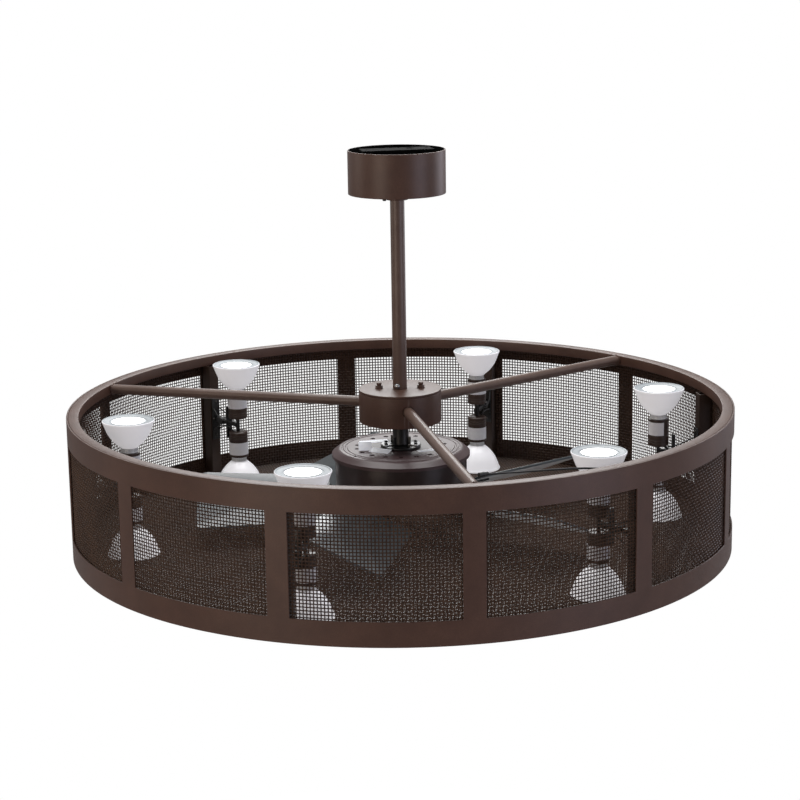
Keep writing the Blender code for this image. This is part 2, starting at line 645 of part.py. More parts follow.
def build_liner(shop):
    """The woven wall behind the windows, as a coarse net."""
    bottom = GUARD_TOP_Z + SEAT_GAP
    top = RING_BOTTOM_Z - SEAT_GAP
    shape = bmesh.new()
    columns = LINER_COLUMNS * 3
    bar_turn = NET_BAR / LINER_OUTER
    cell_turn = math.tau / LINER_COLUMNS
    angles = []
    for column in range(LINER_COLUMNS):
        middle = cell_turn * column
        angles += [middle - bar_turn / 2, middle + bar_turn / 2, middle + cell_turn / 2]
    cell_height = (top - bottom - NET_BAR) / LINER_ROWS
    heights = []
    for row in range(LINER_ROWS + 1):
        heights += [bottom + cell_height * row, bottom + cell_height * row + NET_BAR]
    grid = [[shape.verts.new((LINER_OUTER * math.cos(a), LINER_OUTER * math.sin(a), z)) for a in angles]
            for z in heights]
    for row in range(len(heights) - 1):
        for column in range(columns):
            if row % 2 == 1 and column % 3 > 0:
                continue
            other = (column + 1) % columns
            lower = grid[row]
            upper = grid[row + 1]
            shape.faces.new((lower[column], lower[other], upper[other], upper[column]))
    bmesh.ops.recalc_face_normals(shape, faces=shape.faces)
    liner = shop.piece("mesh_liner", bmesh_to_mesh(shape, "mesh_liner"), "bronze")
    wall = liner.modifiers.new("wall", "SOLIDIFY")
    wall.thickness = NET_THICKNESS
    wall.offset = -1
    settle(liner)


def build_guard(shop):
    """The woven floor of the drum, as a coarse net in a solid edge."""
    middle_z = (GUARD_TOP_Z + GUARD_BOTTOM_Z) / 2
    disc = cylinder_mesh("bottom_guard", RING_OUTER, NET_THICKNESS, BIG_SEGMENTS, at(0, 0, middle_z))
    guard = shop.piece("bottom_guard", disc, "bronze")
    field = RING_OUTER - GUARD_EDGE
    count = int(2 * field / GUARD_PITCH) + 2
    start = -GUARD_PITCH * count / 2
    height = NET_THICKNESS + CUT_OVERRUN
    hole_size = GUARD_PITCH - NET_BAR
    holes = bmesh.new()
    for column in range(count):
        for row in range(count):
            x = start + GUARD_PITCH * (column + 0.5)
            y = start + GUARD_PITCH * (row + 0.5)
            if math.hypot(abs(x) - hole_size / 2, abs(y) - hole_size / 2) > field - GUARD_EDGE:
                continue
            add_box(holes, (hole_size, hole_size, height), at(x, y, middle_z))
    grid = shop.cutter("guard_grid", bmesh_to_mesh(holes, "guard_grid"))
    rim_mesh = cylinder_mesh("guard_field", field, 2 * height, BIG_SEGMENTS // 2, at(0, 0, middle_z))
    add_boolean(grid, shop.cutter("guard_field", rim_mesh), "INTERSECT")
    settle(grid)
    cut(guard, grid)


def lamp_profile():
    """A lamp standing face up with its face at height zero, down its outer side."""
    neck_top = -(LAMP_RIM_HEIGHT + LAMP_BOWL_HEIGHT)
    bowl_shares = ((0.42, 0.84), (0.82, 0.57))
    points = [(0, -LAMP_LENS_DEPTH), (LAMP_RADIUS - LAMP_LENS_INSET, -LAMP_LENS_DEPTH), (LAMP_RADIUS, 0),
              (LAMP_RADIUS, -LAMP_RIM_HEIGHT)]
    for depth_share, radius_share in bowl_shares:
        points.append((LAMP_RADIUS * radius_share, -LAMP_RIM_HEIGHT - LAMP_BOWL_HEIGHT * depth_share))
    base_bottom = -LAMP_LENGTH - LAMP_BASE_HEIGHT
    points += [(LAMP_NECK_RADIUS, neck_top), (LAMP_NECK_RADIUS, -LAMP_LENGTH)]
    points += [(LAMP_BASE_RADIUS, -LAMP_LENGTH), (LAMP_BASE_RADIUS, base_bottom), (0, base_bottom)]
    return points


def socket_profile(mouth_z):
    """A lamp socket, mouth up at the given height, down its outer side and up its bore."""
    bottom = mouth_z - SOCKET_HEIGHT
    bore = LAMP_BASE_RADIUS + SEAT_GAP
    floor_z = bottom + SOCKET_FLOOR
    return [(SOCKET_RADIUS, mouth_z), (SOCKET_RADIUS, bottom), (0, bottom), (0, floor_z),
            (bore, floor_z), (bore, mouth_z), (SOCKET_RADIUS, mouth_z)]


def channel_outer():
    """How far out a channel's back edges reach, clear of the facets of the woven wall."""
    facet_radius = LINER_INNER * math.cos(math.pi / LINER_COLUMNS / 2) - SEAT_GAP
    return math.sqrt(facet_radius ** 2 - (CHANNEL_WIDTH / 2) ** 2)


def holder_mesh(shop):
    """Two sockets mouth out on one stem, a strap behind them and the arm to the channel."""
    flip = Matrix.Rotation(math.pi, 4, "X")
    gap_half = SOCKET_GAP / 2
    profile = socket_profile(SOCKET_MOUTH_RISE)
    holder = turned(shop, "holder_form", profile, "black", LAMP_SEGMENTS, closed=False, cutter=True)
    lower = holder.data.copy()
    lower.transform(flip)
    join(holder, shop.cutter("lower_socket_form", lower))
    overlap = SOCKET_FLOOR / 2
    stem = cylinder_mesh("stem_form", STEM_RADIUS, 2 * (gap_half + overlap), HOLE_SEGMENTS, at(0, 0, 0))
    join(holder, shop.cutter("stem_form", stem))
    reach = channel_outer() - CHANNEL_DEPTH - SEAT_GAP - LAMP_CIRCLE_RADIUS
    arm = box_mesh("arm_form", (reach, ARM_WIDTH, ARM_HEIGHT), at(reach / 2, 0, 0))
    join(holder, shop.cutter("arm_form", arm))
    strap_size = (STRAP_THICKNESS, STRAP_WIDTH, STRAP_HEIGHT)
    join(holder, shop.cutter("strap_form", box_mesh("strap_form", strap_size, at(STRAP_OFFSET, 0, 0))))
    return settle(holder).data


def channel_mesh(shop):
    """An upright channel, open towards the drum's wall."""
    outer = channel_outer()
    bottom = GUARD_TOP_Z + SEAT_GAP
    top = RING_BOTTOM_Z - SEAT_GAP
    middle = (top + bottom) / 2
    size = (CHANNEL_DEPTH, CHANNEL_WIDTH, top - bottom)
    body_mesh = box_mesh("channel_form", size, at(outer - CHANNEL_DEPTH / 2, 0, middle))
    channel = shop.cutter("channel_form", body_mesh)
    groove_size = (CHANNEL_DEPTH, CHANNEL_WIDTH - 2 * CHANNEL_WALL, top - bottom + CUT_OVERRUN)
    groove = box_mesh("groove", groove_size, at(outer - CHANNEL_DEPTH / 2 + CHANNEL_WALL, 0, middle))
    cut(channel, shop.cutter("groove", groove))
    return settle(channel).data


def build_lamps(shop):
    """Six stations: an upright channel, a twin holder on its arm, an up lamp and a down lamp."""
    lamp_form = turned(shop, "lamp_form", lamp_profile(), "lamp", LAMP_SEGMENTS, closed=False, cutter=True)
    holder_form = holder_mesh(shop)
    channel_form = channel_mesh(shop)
    flip = Matrix.Rotation(math.pi, 4, "X")
    for index in range(LAMP_STATIONS):
        label = str(index + 1)
        turn = turn_about_z(math.tau * index / LAMP_STATIONS)
        place = turn @ at(LAMP_CIRCLE_RADIUS, 0, 0)
        upper = shop.piece("lamp_up_" + label, lamp_form.data.copy(), "lamp")
        upper.matrix_world = place @ at(0, 0, LAMP_FACE_Z)
        lower = shop.piece("lamp_down_" + label, lamp_form.data.copy(), "lamp")
        lower.matrix_world = place @ at(0, 0, LAMP_LOW_FACE_Z) @ flip
        holder = shop.piece("lamp_holder_" + label, holder_form.copy(), "black")
        holder.matrix_world = place @ at(0, 0, LAMP_MIDDLE_Z)
        channel = shop.piece("lamp_channel_" + label, channel_form.copy(), "bronze")
        channel.matrix_world = turn


def build_stem(shop):
    """The black tube under the hub: a flange on the hub's floor and one on the motor's top."""
    top_flange_z = HUB_FLOOR_Z + SEAT_GAP
    top = top_flange_z + STEM_FLANGE_THICKNESS
    foot = TOP_PLATE_Z + SEAT_GAP
    bore = SHAFT_RADIUS + SEAT_GAP
    points = [(STEM_TOP_FLANGE_RADIUS, top), (STEM_TOP_FLANGE_RADIUS, top_flange_z),
              (STEM_TUBE_RADIUS, top_flange_z), (STEM_TUBE_RADIUS, foot + STEM_FLANGE_THICKNESS),
              (STEM_FLANGE_RADIUS, foot + STEM_FLANGE_THICKNESS), (STEM_FLANGE_RADIUS, foot),
              (bore, foot), (bore, top)]
    turned(shop, "motor_stem", points, "black", SMALL_SEGMENTS)


def height_on(points, radius):
    """Height at a radius on a line of (radius, height) points that runs inwards."""
    for outer, inner in zip(points, points[1:]):
        if inner[0] <= radius <= outer[0]:
            share = (outer[0] - radius) / (outer[0] - inner[0])
            return outer[1] + (inner[1] - outer[1]) * share
    return points[0][1]


def build_motor(shop):
    """Fixed covers, shaft and stator, the turning rotor cup, its bearings and the cap."""
    bore = SHAFT_RADIUS + SEAT_GAP
    skirt_z = TOP_PLATE_Z - TOP_PLATE_HEIGHT
    run = TOP_PLATE_RADIUS - TOP_PLATE_FLAT_RADIUS
    outer_arc = arc((TOP_PLATE_FLAT_RADIUS, skirt_z), (run, TOP_PLATE_HEIGHT), math.pi / 2, 0, ARC_STEPS)
    inner_radii = (run - TOP_PLATE_WALL, TOP_PLATE_HEIGHT - TOP_PLATE_WALL)
    inner_arc = arc((TOP_PLATE_FLAT_RADIUS, skirt_z), inner_radii, 0, math.pi / 2, ARC_STEPS)
    points = [(bore, TOP_PLATE_Z)] + outer_arc + inner_arc + [(bore, TOP_PLATE_Z - TOP_PLATE_WALL)]
    plate = turned(shop, "motor_top_plate", points, "lid", 2 * VENT_COUNT)
    vents = bmesh.new()
    for index in range(VENT_COUNT):
        turn = turn_about_z(VENT_FIRST_TURN + math.tau * index / VENT_COUNT)
        matrix = turn @ at(VENT_CIRCLE_RADIUS, 0, TOP_PLATE_Z)
        add_cylinder(vents, VENT_RADIUS, 2 * TOP_PLATE_HEIGHT, 6, matrix)
    cut(plate, shop.cutter("vents", bmesh_to_mesh(vents, "vents")))

    under_facet = HOUSING_RADIUS / math.cos(math.pi / (2 * VENT_COUNT))
    housing_top = height_on(inner_arc, under_facet) - SEAT_GAP
    housing_bottom = BLADE_Z + HOUSING_BOTTOM_RISE
    points = ring_points(HOUSING_RADIUS - HOUSING_WALL, HOUSING_RADIUS, housing_bottom, housing_top)
    turned(shop, "motor_housing", points, "bronze", MID_SEGMENTS)

    collar_top = ROTOR_BOTTOM_Z
    collar_bottom = collar_top - SHAFT_COLLAR_HEIGHT
    cap_top = CARRIER_TOP_Z - CARRIER_THICKNESS - CAP_CLEARANCE
    shaft_bottom = cap_top - CAP_HEIGHT + CAP_WALL + SEAT_GAP
    shaft_top = TOP_PLATE_Z + SHAFT_IN_STEM
    points = [(0, shaft_top), (SHAFT_RADIUS, shaft_top), (SHAFT_RADIUS, collar_top),
              (SHAFT_COLLAR_RADIUS, collar_top), (SHAFT_COLLAR_RADIUS, collar_bottom),
              (SHAFT_RADIUS, collar_bottom), (SHAFT_RADIUS, shaft_bottom), (0, shaft_bottom)]
    turned(shop, "motor_shaft", points, "steel", SMALL_SEGMENTS, closed=False)

    stator_top = BLADE_Z + STATOR_TOP_RISE
    stator_step = stator_top - STATOR_PLATE_THICKNESS
    stator_bottom = BLADE_Z + STATOR_BOTTOM_RISE
    points = [(STATOR_OUTER_RADIUS, stator_top), (STATOR_OUTER_RADIUS, stator_bottom),
              (STATOR_INNER_RADIUS, stator_bottom), (STATOR_INNER_RADIUS, stator_step),
              (bore, stator_step), (bore, stator_top)]
    turned(shop, "stator", points, "copper", SMALL_SEGMENTS)

    cup_outer = ROTOR_RADIUS
    cup_inner = cup_outer - ROTOR_WALL
    floor_top = ROTOR_BOTTOM_Z + ROTOR_FLOOR_THICKNESS
    seat_radius = BEARING_RADIUS + SEAT_GAP
    boss_outer = seat_radius + ROTOR_BOSS_WALL
    boss_top = BLADE_Z + ROTOR_BOSS_TOP_RISE
    low_bearing_bottom = ROTOR_BOTTOM_Z + SEAT_GAP
    low_shoulder = low_bearing_bottom + BEARING_HEIGHT + SEAT_GAP
    high_shoulder = boss_top - BEARING_HEIGHT - SEAT_GAP
    neck = BEARING_RADIUS - BEARING_SHOULDER
    rim_z = BLADE_Z + ROTOR_RIM_RISE
    points = [(cup_outer, rim_z), (cup_outer, ROTOR_BOTTOM_Z), (seat_radius, ROTOR_BOTTOM_Z),
              (seat_radius, low_shoulder), (neck, low_shoulder), (neck, high_shoulder),
              (seat_radius, high_shoulder), (seat_radius, boss_top), (boss_outer, boss_top),
              (boss_outer, floor_top), (cup_inner, floor_top), (cup_inner, rim_z)]
    turned(shop, "rotor_shell", points, "black", SMALL_SEGMENTS)
    for name, bottom in (("lower_bearing", low_bearing_bottom), ("upper_bearing", high_shoulder + SEAT_GAP)):
        points = ring_points(bore, BEARING_RADIUS, bottom, bottom + BEARING_HEIGHT)
        turned(shop, name, points, "steel", SMALL_SEGMENTS)

    cap_bottom = cap_top - CAP_HEIGHT
    dome = arc((CAP_RADIUS - CAP_HEIGHT / 2, cap_bottom + CAP_HEIGHT / 2), (CAP_HEIGHT / 2, CAP_HEIGHT / 2),
               0, -math.pi / 2, ARC_STEPS)
    floor_z = cap_bottom + CAP_WALL
    points = [(CAP_RADIUS, cap_top)] + dome
    points += [(0, cap_bottom), (0, floor_z), (bore, floor_z), (bore, cap_top),
               (CAP_BOSS_RADIUS, cap_top), (CAP_BOSS_RADIUS, floor_z)]
    points += [(CAP_RADIUS - CAP_HEIGHT / 2, floor_z), (CAP_RADIUS - CAP_WALL, cap_bottom + CAP_HEIGHT / 2),
               (CAP_RADIUS - CAP_WALL, cap_top), (CAP_RADIUS, cap_top)]
    turned(shop, "bottom_cap", points, "bronze", SMALL_SEGMENTS, closed=False)


def blade_matrix(index):
    """Frame of a blade: X out along it, Z square to its face."""
    turn = turn_about_z(BLADE_FIRST_TURN + math.tau * index / BLADE_COUNT)
    return turn @ at(0, 0, BLADE_Z) @ Matrix.Rotation(-BLADE_PITCH, 4, "X")


def blade_outline():
    """Corner points of a flat blade with rounded tip corners."""
    root = BLADE_ROOT_CHORD / 2
    tip = BLADE_CHORD / 2
    points = [(BLADE_ROOT_RADIUS, -root)]
    low = arc((BLADE_TIP_RADIUS - BLADE_CORNER, BLADE_CORNER - tip), (BLADE_CORNER, BLADE_CORNER),
              -math.pi / 2, 0, ARC_STEPS)
    high = arc((BLADE_TIP_RADIUS - BLADE_CORNER, tip - BLADE_CORNER), (BLADE_CORNER, BLADE_CORNER),
               0, math.pi / 2, ARC_STEPS)
    return points + low + high + [(BLADE_ROOT_RADIUS, root)]


def flat_outline_mesh(name, outline, thickness):
    """A flat outline given a thickness, half each side of its plane."""
    curve = bpy.data.curves.new(name, "CURVE")
    curve.dimensions = "2D"
    curve.fill_mode = "BOTH"
    curve.extrude = thickness / 2
    spline = curve.splines.new("POLY")
    spline.points.add(len(outline) - 1)
    for point, (x, y) in zip(spline.points, outline):
        point.co = (x, y, 0, 1)
    spline.use_cyclic_u = True
    obj = bpy.data.objects.new(name + "_curve", curve)
    bpy.context.scene.collection.objects.link(obj)
    bpy.context.view_layer.update()
    mesh = bpy.data.meshes.new_from_object(obj.evaluated_get(bpy.context.evaluated_depsgraph_get()))
    bpy.data.objects.remove(obj)
    shape = bmesh.new()
    shape.from_mesh(mesh)
    bmesh.ops.remove_doubles(shape, verts=shape.verts, dist=MERGE_DISTANCE)
    bmesh.ops.recalc_face_normals(shape, faces=shape.faces)
    shape.to_mesh(mesh)
    shape.free()
    smooth(mesh)
    return mesh


def build_blades(shop):
    """Carrier disc with its five arms under the rotor, and the blades on them."""
    carrier_bottom = CARRIER_TOP_Z - CARRIER_THICKNESS
    points = ring_points(CARRIER_BORE_RADIUS, CARRIER_RADIUS, carrier_bottom, CARRIER_TOP_Z)
    carrier = turned(shop, "blade_carrier", points, "black", SMALL_SEGMENTS)
    outline_mesh = flat_outline_mesh("blade_form", blade_outline(), BLADE_THICKNESS)
    drop = BLADE_THICKNESS / 2 + SEAT_GAP + ARM_PLATE_THICKNESS / 2
    neck_start = CARRIER_RADIUS - ARM_NECK_OVERLAP
    neck_end = BLADE_ROOT_RADIUS - ARM_NECK_INSET
    plate_start = BLADE_ROOT_RADIUS - ARM_PLATE_OVERHANG
    neck_length = neck_end - neck_start
    for index in range(BLADE_COUNT):
        label = str(index + 1)
        frame = blade_matrix(index)
        blade = shop.piece("blade_" + label, outline_mesh.copy(), "blade")
        blade.matrix_world = frame
        plate_size = (ARM_PLATE_REACH, ARM_PLATE_WIDTH, ARM_PLATE_THICKNESS)
        plate_at = frame @ at(plate_start + ARM_PLATE_REACH / 2, 0, -drop)
        plate = box_mesh("arm_plate_form_" + label, plate_size, plate_at)
        neck_size = (neck_length, ARM_NECK_WIDTH, ARM_NECK_HEIGHT)
        turn = turn_about_z(BLADE_FIRST_TURN + math.tau * index / BLADE_COUNT)
        neck_at = turn @ at(neck_start + neck_length / 2, 0, CARRIER_TOP_Z - ARM_NECK_HEIGHT / 2)
        neck = box_mesh("arm_neck_form_" + label, neck_size, neck_at)
        join(carrier, shop.cutter("arm_neck_form_" + label, neck))
        join(carrier, shop.cutter("arm_plate_form_" + label, plate))


def build_lead(shop):
    """The black lead from the front spoke's end to the next lamp channel."""
    turn = turn_about_z(SPOKE_FIRST_TURN + math.tau * 2 / SPOKE_COUNT)
    ring_inner = RING_OUTER - TOP_RING_SIZE
    start = turn @ Vector((ring_inner - LEAD_SPOKE_INSET, LEAD_SPOKE_SIDE, RIM_Z + LEAD_RISE))
    station = turn_about_z(math.tau * 5 / LAMP_STATIONS)
    end = station @ Vector((channel_outer() - CHANNEL_DEPTH - LEAD_RADIUS - SEAT_GAP, -LEAD_CHANNEL_SIDE / 2,
                            RIM_Z - LEAD_CHANNEL_DROP))
    curve = bpy.data.curves.new("lamp_lead", "CURVE")
    curve.dimensions = "3D"
    curve.bevel_depth = LEAD_RADIUS
    curve.bevel_resolution = 2
    curve.use_fill_caps = True
    spline = curve.splines.new("POLY")
    spline.points.add(LEAD_STEPS)
    span = (end - start).length
    for i, point in enumerate(spline.points):
        share = i / LEAD_STEPS
        spot = start.lerp(end, share)
        fall = (start.z - end.z) * (share - share ** 4)
        spot.z += fall - span * LEAD_SAG_SHARE * math.sin(math.pi * share)
        point.co = (*spot, 1)
    lead = bpy.data.objects.new("lamp_lead", curve)
    shop.parts.objects.link(lead)
    shop.dress(lead, "black")


def main():
    clear_scene()
    shop = Shop()
    build_bracket(shop)
    build_hanger(shop)
    build_canopy(shop)
    build_rod(shop)
    build_hub(shop)
    build_drum(shop)
    build_liner(shop)
    build_guard(shop)
    build_lamps(shop)
    build_stem(shop)
    build_motor(shop)
    build_blades(shop)
    build_lead(shop)


main()
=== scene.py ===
"""Dress the chandelier ceiling fan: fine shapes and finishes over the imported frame.

Every length is in metres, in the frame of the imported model: +Z up, the origin on the ceiling.
"""

import logging
import math
from dataclasses import dataclass, field
from enum import Enum

import bmesh
import bpy
import numpy as np
from mathutils import Matrix, Vector


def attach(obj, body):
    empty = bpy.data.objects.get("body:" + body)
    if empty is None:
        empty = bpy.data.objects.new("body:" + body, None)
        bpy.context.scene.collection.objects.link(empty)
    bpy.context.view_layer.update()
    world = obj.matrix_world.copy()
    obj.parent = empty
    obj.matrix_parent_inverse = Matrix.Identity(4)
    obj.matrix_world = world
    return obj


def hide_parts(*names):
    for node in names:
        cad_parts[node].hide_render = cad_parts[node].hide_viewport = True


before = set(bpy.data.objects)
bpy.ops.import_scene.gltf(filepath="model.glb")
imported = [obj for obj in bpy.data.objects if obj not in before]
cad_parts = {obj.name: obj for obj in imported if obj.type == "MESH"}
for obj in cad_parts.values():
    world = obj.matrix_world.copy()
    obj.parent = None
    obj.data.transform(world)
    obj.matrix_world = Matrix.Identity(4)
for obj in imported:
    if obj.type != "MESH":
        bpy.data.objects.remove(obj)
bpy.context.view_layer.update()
LOG = logging.getLogger("chandelier_fan")

MM = 0.001
TURN = 2 * math.pi
RIM_Z = -0.466
DRUM_BOTTOM_Z = -0.727
SHELL_RADIUS = 0.610
VIEW_TURN = math.radians(-11.4)
HAIR_EDGE = 0.2 * MM
FINE_EDGE = 0.4 * MM

Outline = tuple[tuple[float, float], ...]
Triple = tuple[float, float, float]


class Body(Enum):
    """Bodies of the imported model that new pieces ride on."""

    STEM = "stem"
    CANOPY = "canopy"
    ROTOR = "rotor"


def linear(code: str) -> tuple[float, float, float, float]:
    """Turn an sRGB hex colour into linear light.

    Args:
        code: Six hex digits, with or without a leading hash.

    Returns:
        Linear red, green and blue, and an alpha of one.
    """
    digits = code.lstrip("#")
    share = [int(digits[i:i + 2], 16) / 255 for i in (0, 2, 4)]
    light = [s / 12.92 if s <= 0.04045 else ((s + 0.055) / 1.055) ** 2.4 for s in share]
    return (*light, 1.0)


def add_node(tree: bpy.types.NodeTree, kind: str, links: dict | None = None,
             **settings: object) -> bpy.types.Node:
    """Add one node with its settings, socket values and incoming links.

    Args:
        tree: Node tree that takes the node.
        kind: Blender's type name of the node.
        links: Input name or number to a value, or to an output socket that feeds it.
        settings: Attributes of the node itself.

    Returns:
        The new node.
    """
    node = tree.nodes.new(kind)
    for name, value in settings.items():
        setattr(node, name, value)
    for key, value in (links or {}).items():
        if isinstance(value, bpy.types.NodeSocket):
            tree.links.new(value, node.inputs[key])
        else:
            node.inputs[key].default_value = value
    return node


@dataclass(frozen=True)
class Finish:
    """A surface finish: a mottled colour, a grain in the roughness and a fine relief.

    The mottle is the slow drift of tone over the piece, the grain is the fine texture of the skin.
    """

    name: str
    dark: str
    pale: str
    roughness: float = 0.4
    spread: float = 0.06
    metallic: float = 0.0
    mottle_mm: float = 60.0
    grain_mm: float = 2.0
    relief: float = 0.08
    relief_mm: float = 0.05
    coat: float = 0.0
    coat_roughness: float = 0.2
    specular: float = 0.5
    stretch: Triple = (1.0, 1.0, 1.0)
    edge_wear: float = 0.0
    worn_colour: str = "#a79a92"
    glow: float = 0.0

    def build(self) -> bpy.types.Material:
        """Make the Blender material, or find it where it has been made already.

        Returns:
            The material, under the finish's own name.
        """
        known = bpy.data.materials.get(self.name)
        if known is not None:
            return known
        material = bpy.data.materials.new(self.name)
        material.use_nodes = True
        tree = material.node_tree
        tree.nodes.clear()
        output = add_node(tree, "ShaderNodeOutputMaterial")
        place = add_node(tree, "ShaderNodeTexCoord").outputs["Object"]
        place = add_node(tree, "ShaderNodeMapping", {"Vector": place, "Scale": self.stretch})
        drift = add_node(tree, "ShaderNodeTexNoise", {
            "Vector": place.outputs[0], "Scale": 1 / (self.mottle_mm * MM), "Detail": 3.0, "Roughness": 0.55})
        grain = add_node(tree, "ShaderNodeTexNoise", {
            "Vector": place.outputs[0], "Scale": 1 / (self.grain_mm * MM), "Detail": 4.0, "Roughness": 0.6})
        blend = add_node(tree, "ShaderNodeMath", {0: drift.outputs["Fac"], 1: grain.outputs["Fac"]},
                         operation="MULTIPLY")
        share = add_node(tree, "ShaderNodeMapRange", {
            "Value": blend.outputs[0], "From Min": 0.12, "From Max": 0.42})
        tone = add_node(tree, "ShaderNodeMix", {
            0: share.outputs[0], 6: linear(self.dark), 7: linear(self.pale)}, data_type="RGBA")
        colour = tone.outputs[2]
        if self.edge_wear > 0:
            colour = self._worn(tree, colour)
        rough = add_node(tree, "ShaderNodeMapRange", {
            "Value": grain.outputs["Fac"], "From Min": 0.3, "From Max": 0.7,
            "To Min": self.roughness - self.spread, "To Max": self.roughness + self.spread})
        bump = add_node(tree, "ShaderNodeBump", {
            "Height": grain.outputs["Fac"], "Strength": self.relief, "Distance": self.relief_mm * MM})
        shader = add_node(tree, "ShaderNodeBsdfPrincipled", {
            "Base Color": colour, "Roughness": rough.outputs[0], "Normal": bump.outputs["Normal"],
            "Metallic": self.metallic, "Coat Weight": self.coat, "Coat Roughness": self.coat_roughness,
            "Specular IOR Level": self.specular})
        if self.glow > 0:
            shader.inputs["Emission Color"].default_value = linear(self.pale)
            shader.inputs["Emission Strength"].default_value = self.glow
        tree.links.new(shader.outputs[0], output.inputs["Surface"])
        return material

    def _worn(self, tree: bpy.types.NodeTree, colour: bpy.types.NodeSocket) -> bpy.types.NodeSocket:
        """Lighten the paint where it runs thin over sharp edges, by the surface's own pointiness.

        Args:
            tree: Node tree of the material.
            colour: Socket that gives the paint's colour.

        Returns:
            Socket that gives the colour with its pale edges.
        """
        geometry = add_node(tree, "ShaderNodeNewGeometry")
        edge = add_node(tree, "ShaderNodeMapRange", {
            "Value": geometry.outputs["Pointiness"], "From Min": 0.55, "From Max": 0.68,
            "To Max": self.edge_wear})
        thin = add_node(tree, "ShaderNodeMix", {
            0: edge.outputs[0], 6: colour, 7: linear(self.worn_colour)}, data_type="RGBA")
        return thin.outputs[2]


# Sprayed polyester powder on steel: a dull sheen with a fine orange peel.
POWDER_COAT = Finish("bronze_powder_coat", "#452f26", "#553c31", roughness=0.42, relief=0.2, specular=0.38,
                     grain_mm=1.6, edge_wear=0.15)
# The same coat on drawn tube, made paler and greyer than on the drum: painted light from the lamps close by.
LIT_TUBE_COAT = Finish("bronze_tube_coat_painted_light", "#533f36", "#66534a", roughness=0.4, relief=0.12, specular=0.45,
                   grain_mm=1.6, edge_wear=0.1)
# The same powder on the lamp channels, made darker: painted shade, as they stand in the drum's shade.
SHADED_CHANNEL_COAT = Finish("channel_coat_painted_shade", "#2c201a", "#3e2f27", roughness=0.5, relief=0.2, specular=0.3)
# The same coat inside the cup, sprayed black: it swallows light.
BLACK_INSIDE = Finish("black_inside_paint", "#040404", "#080807", roughness=0.85, specular=0.08)
# Coated woven wire: too thin to show texture, so its grain is drawn coarse, a tone per stretch of wire.
WIRE_COAT = Finish("coated_woven_wire", "#34241b", "#4d392c", roughness=0.45, mottle_mm=90.0, grain_mm=9.0,
                   relief=0.0, specular=0.22)
# Stoved enamel on the motor's lid: smooth, with a soft lilac gloss.
LID_ENAMEL = Finish("motor_lid_enamel", "#453334", "#523f40", roughness=0.36, spread=0.03,
                    relief=0.04)
# The same enamel, darker on the pressed motor housing: painted shade under the lid.
SHADED_HOUSING_ENAMEL = Finish("motor_housing_enamel_painted_shade", "#261817", "#332220", roughness=0.35, coat=0.1, relief=0.06)
# Satin black paint on steel tube and pressings.
SATIN_BLACK = Finish("satin_black_paint", "#0d0d0d", "#191918", roughness=0.33, coat=0.2, relief=0.1)
# Zinc plate on steel: bright and bluish, with a fine cloudy crystal.
ZINC_PLATE = Finish("zinc_plate", "#b9bcbe", "#dcdedf", roughness=0.34, metallic=0.25, mottle_mm=14.0,
                    grain_mm=1.2, relief=0.12)
# Phosphated screw steel: dark grey with a dull shine.
DULL_SCREW = Finish("phosphated_screw", "#3a3735", "#57534f", roughness=0.45, metallic=0.5, relief=0.05)
# Ground bearing steel.
BRIGHT_STEEL = Finish("ground_steel", "#8d8f92", "#b5b7b9", roughness=0.22, metallic=1.0, relief=0.05,
                      stretch=(1.0, 1.0, 6.0))
# Moulded phenolic socket: brown-black with the faint flow lines of the mould.
SOCKET_PHENOLIC = Finish("phenolic_socket", "#2c1e18", "#433026", roughness=0.4, relief=0.2, grain_mm=0.9,
                         stretch=(1.0, 1.0, 2.5))
# Opal glass-filled lamp body: white with a pale grey cast.
LAMP_BODY = Finish("white_lamp_body", "#e2e0e4", "#eeedf0", roughness=0.3, relief=0.02, coat=0.2, glow=0.37)
# Frosted ring round the lamp's lens.
LAMP_FROST = Finish("frosted_lamp_ring", "#8f9599", "#a9afb3", roughness=0.5, relief=0.05, glow=0.02)
# The lit lens: white all over.
LAMP_LENS = Finish("lit_lamp_lens", "#ffffff", "#ffffff", roughness=0.6, relief=0.0, glow=1.2)
# Turned aluminium heat sink at the lamp's neck; its faint glow is painted light on it.
LAMP_NECK = Finish("lamp_heat_sink", "#c6c8ca", "#e8e9eb", roughness=0.35, metallic=0.3, grain_mm=1.0,
                   glow=0.04)
# Coated paper, bare of any print, on the motor's lid: a faint glow stands for the lamps' light on it.
LID_LABEL = Finish("bare_lid_label", "#dfe2ea", "#eceef3", roughness=0.5, mottle_mm=9.0, relief=0.03,
                   glow=0.2)
# The same paper round the sockets.
BARE_LABEL = Finish("bare_paper_label", "#e6e6eb", "#f2f2f5", roughness=0.45, mottle_mm=9.0, relief=0.03)
# Grey foil pressed on the blades' wood board: faint grain along the blade.
BLADE_FOIL = Finish("grey_blade_foil", "#34393c", "#42494d", roughness=0.34, coat=0.6, coat_roughness=0.2,
                    mottle_mm=24.0, grain_mm=3.0, relief=0.05)
# Soft cable sheath.
CABLE_SHEATH = Finish("black_cable_sheath", "#0a0a0a", "#161616", roughness=0.5, relief=0.1)
# Enamelled copper windings on a laminated core.
WINDING = Finish("enamelled_windings", "#4a2415", "#8a4a28", roughness=0.35, metallic=0.5, grain_mm=1.0,
                 stretch=(1.0, 1.0, 4.0), relief=0.3)


def mm(*points: tuple[float, float]) -> Outline:
    """Outline in metres from points typed in millimetres."""
    return tuple((a * MM, b * MM) for a, b in points)


def move(x: float, y: float, z: float) -> np.ndarray:
    """Matrix that shifts by x, y and z."""
    return np.array(Matrix.Translation((x, y, z)))


def spin(angle: float, axis: str = "Z") -> np.ndarray:
    """Matrix that turns by an angle in radians about one axis."""
    return np.array(Matrix.Rotation(angle, 4, axis))


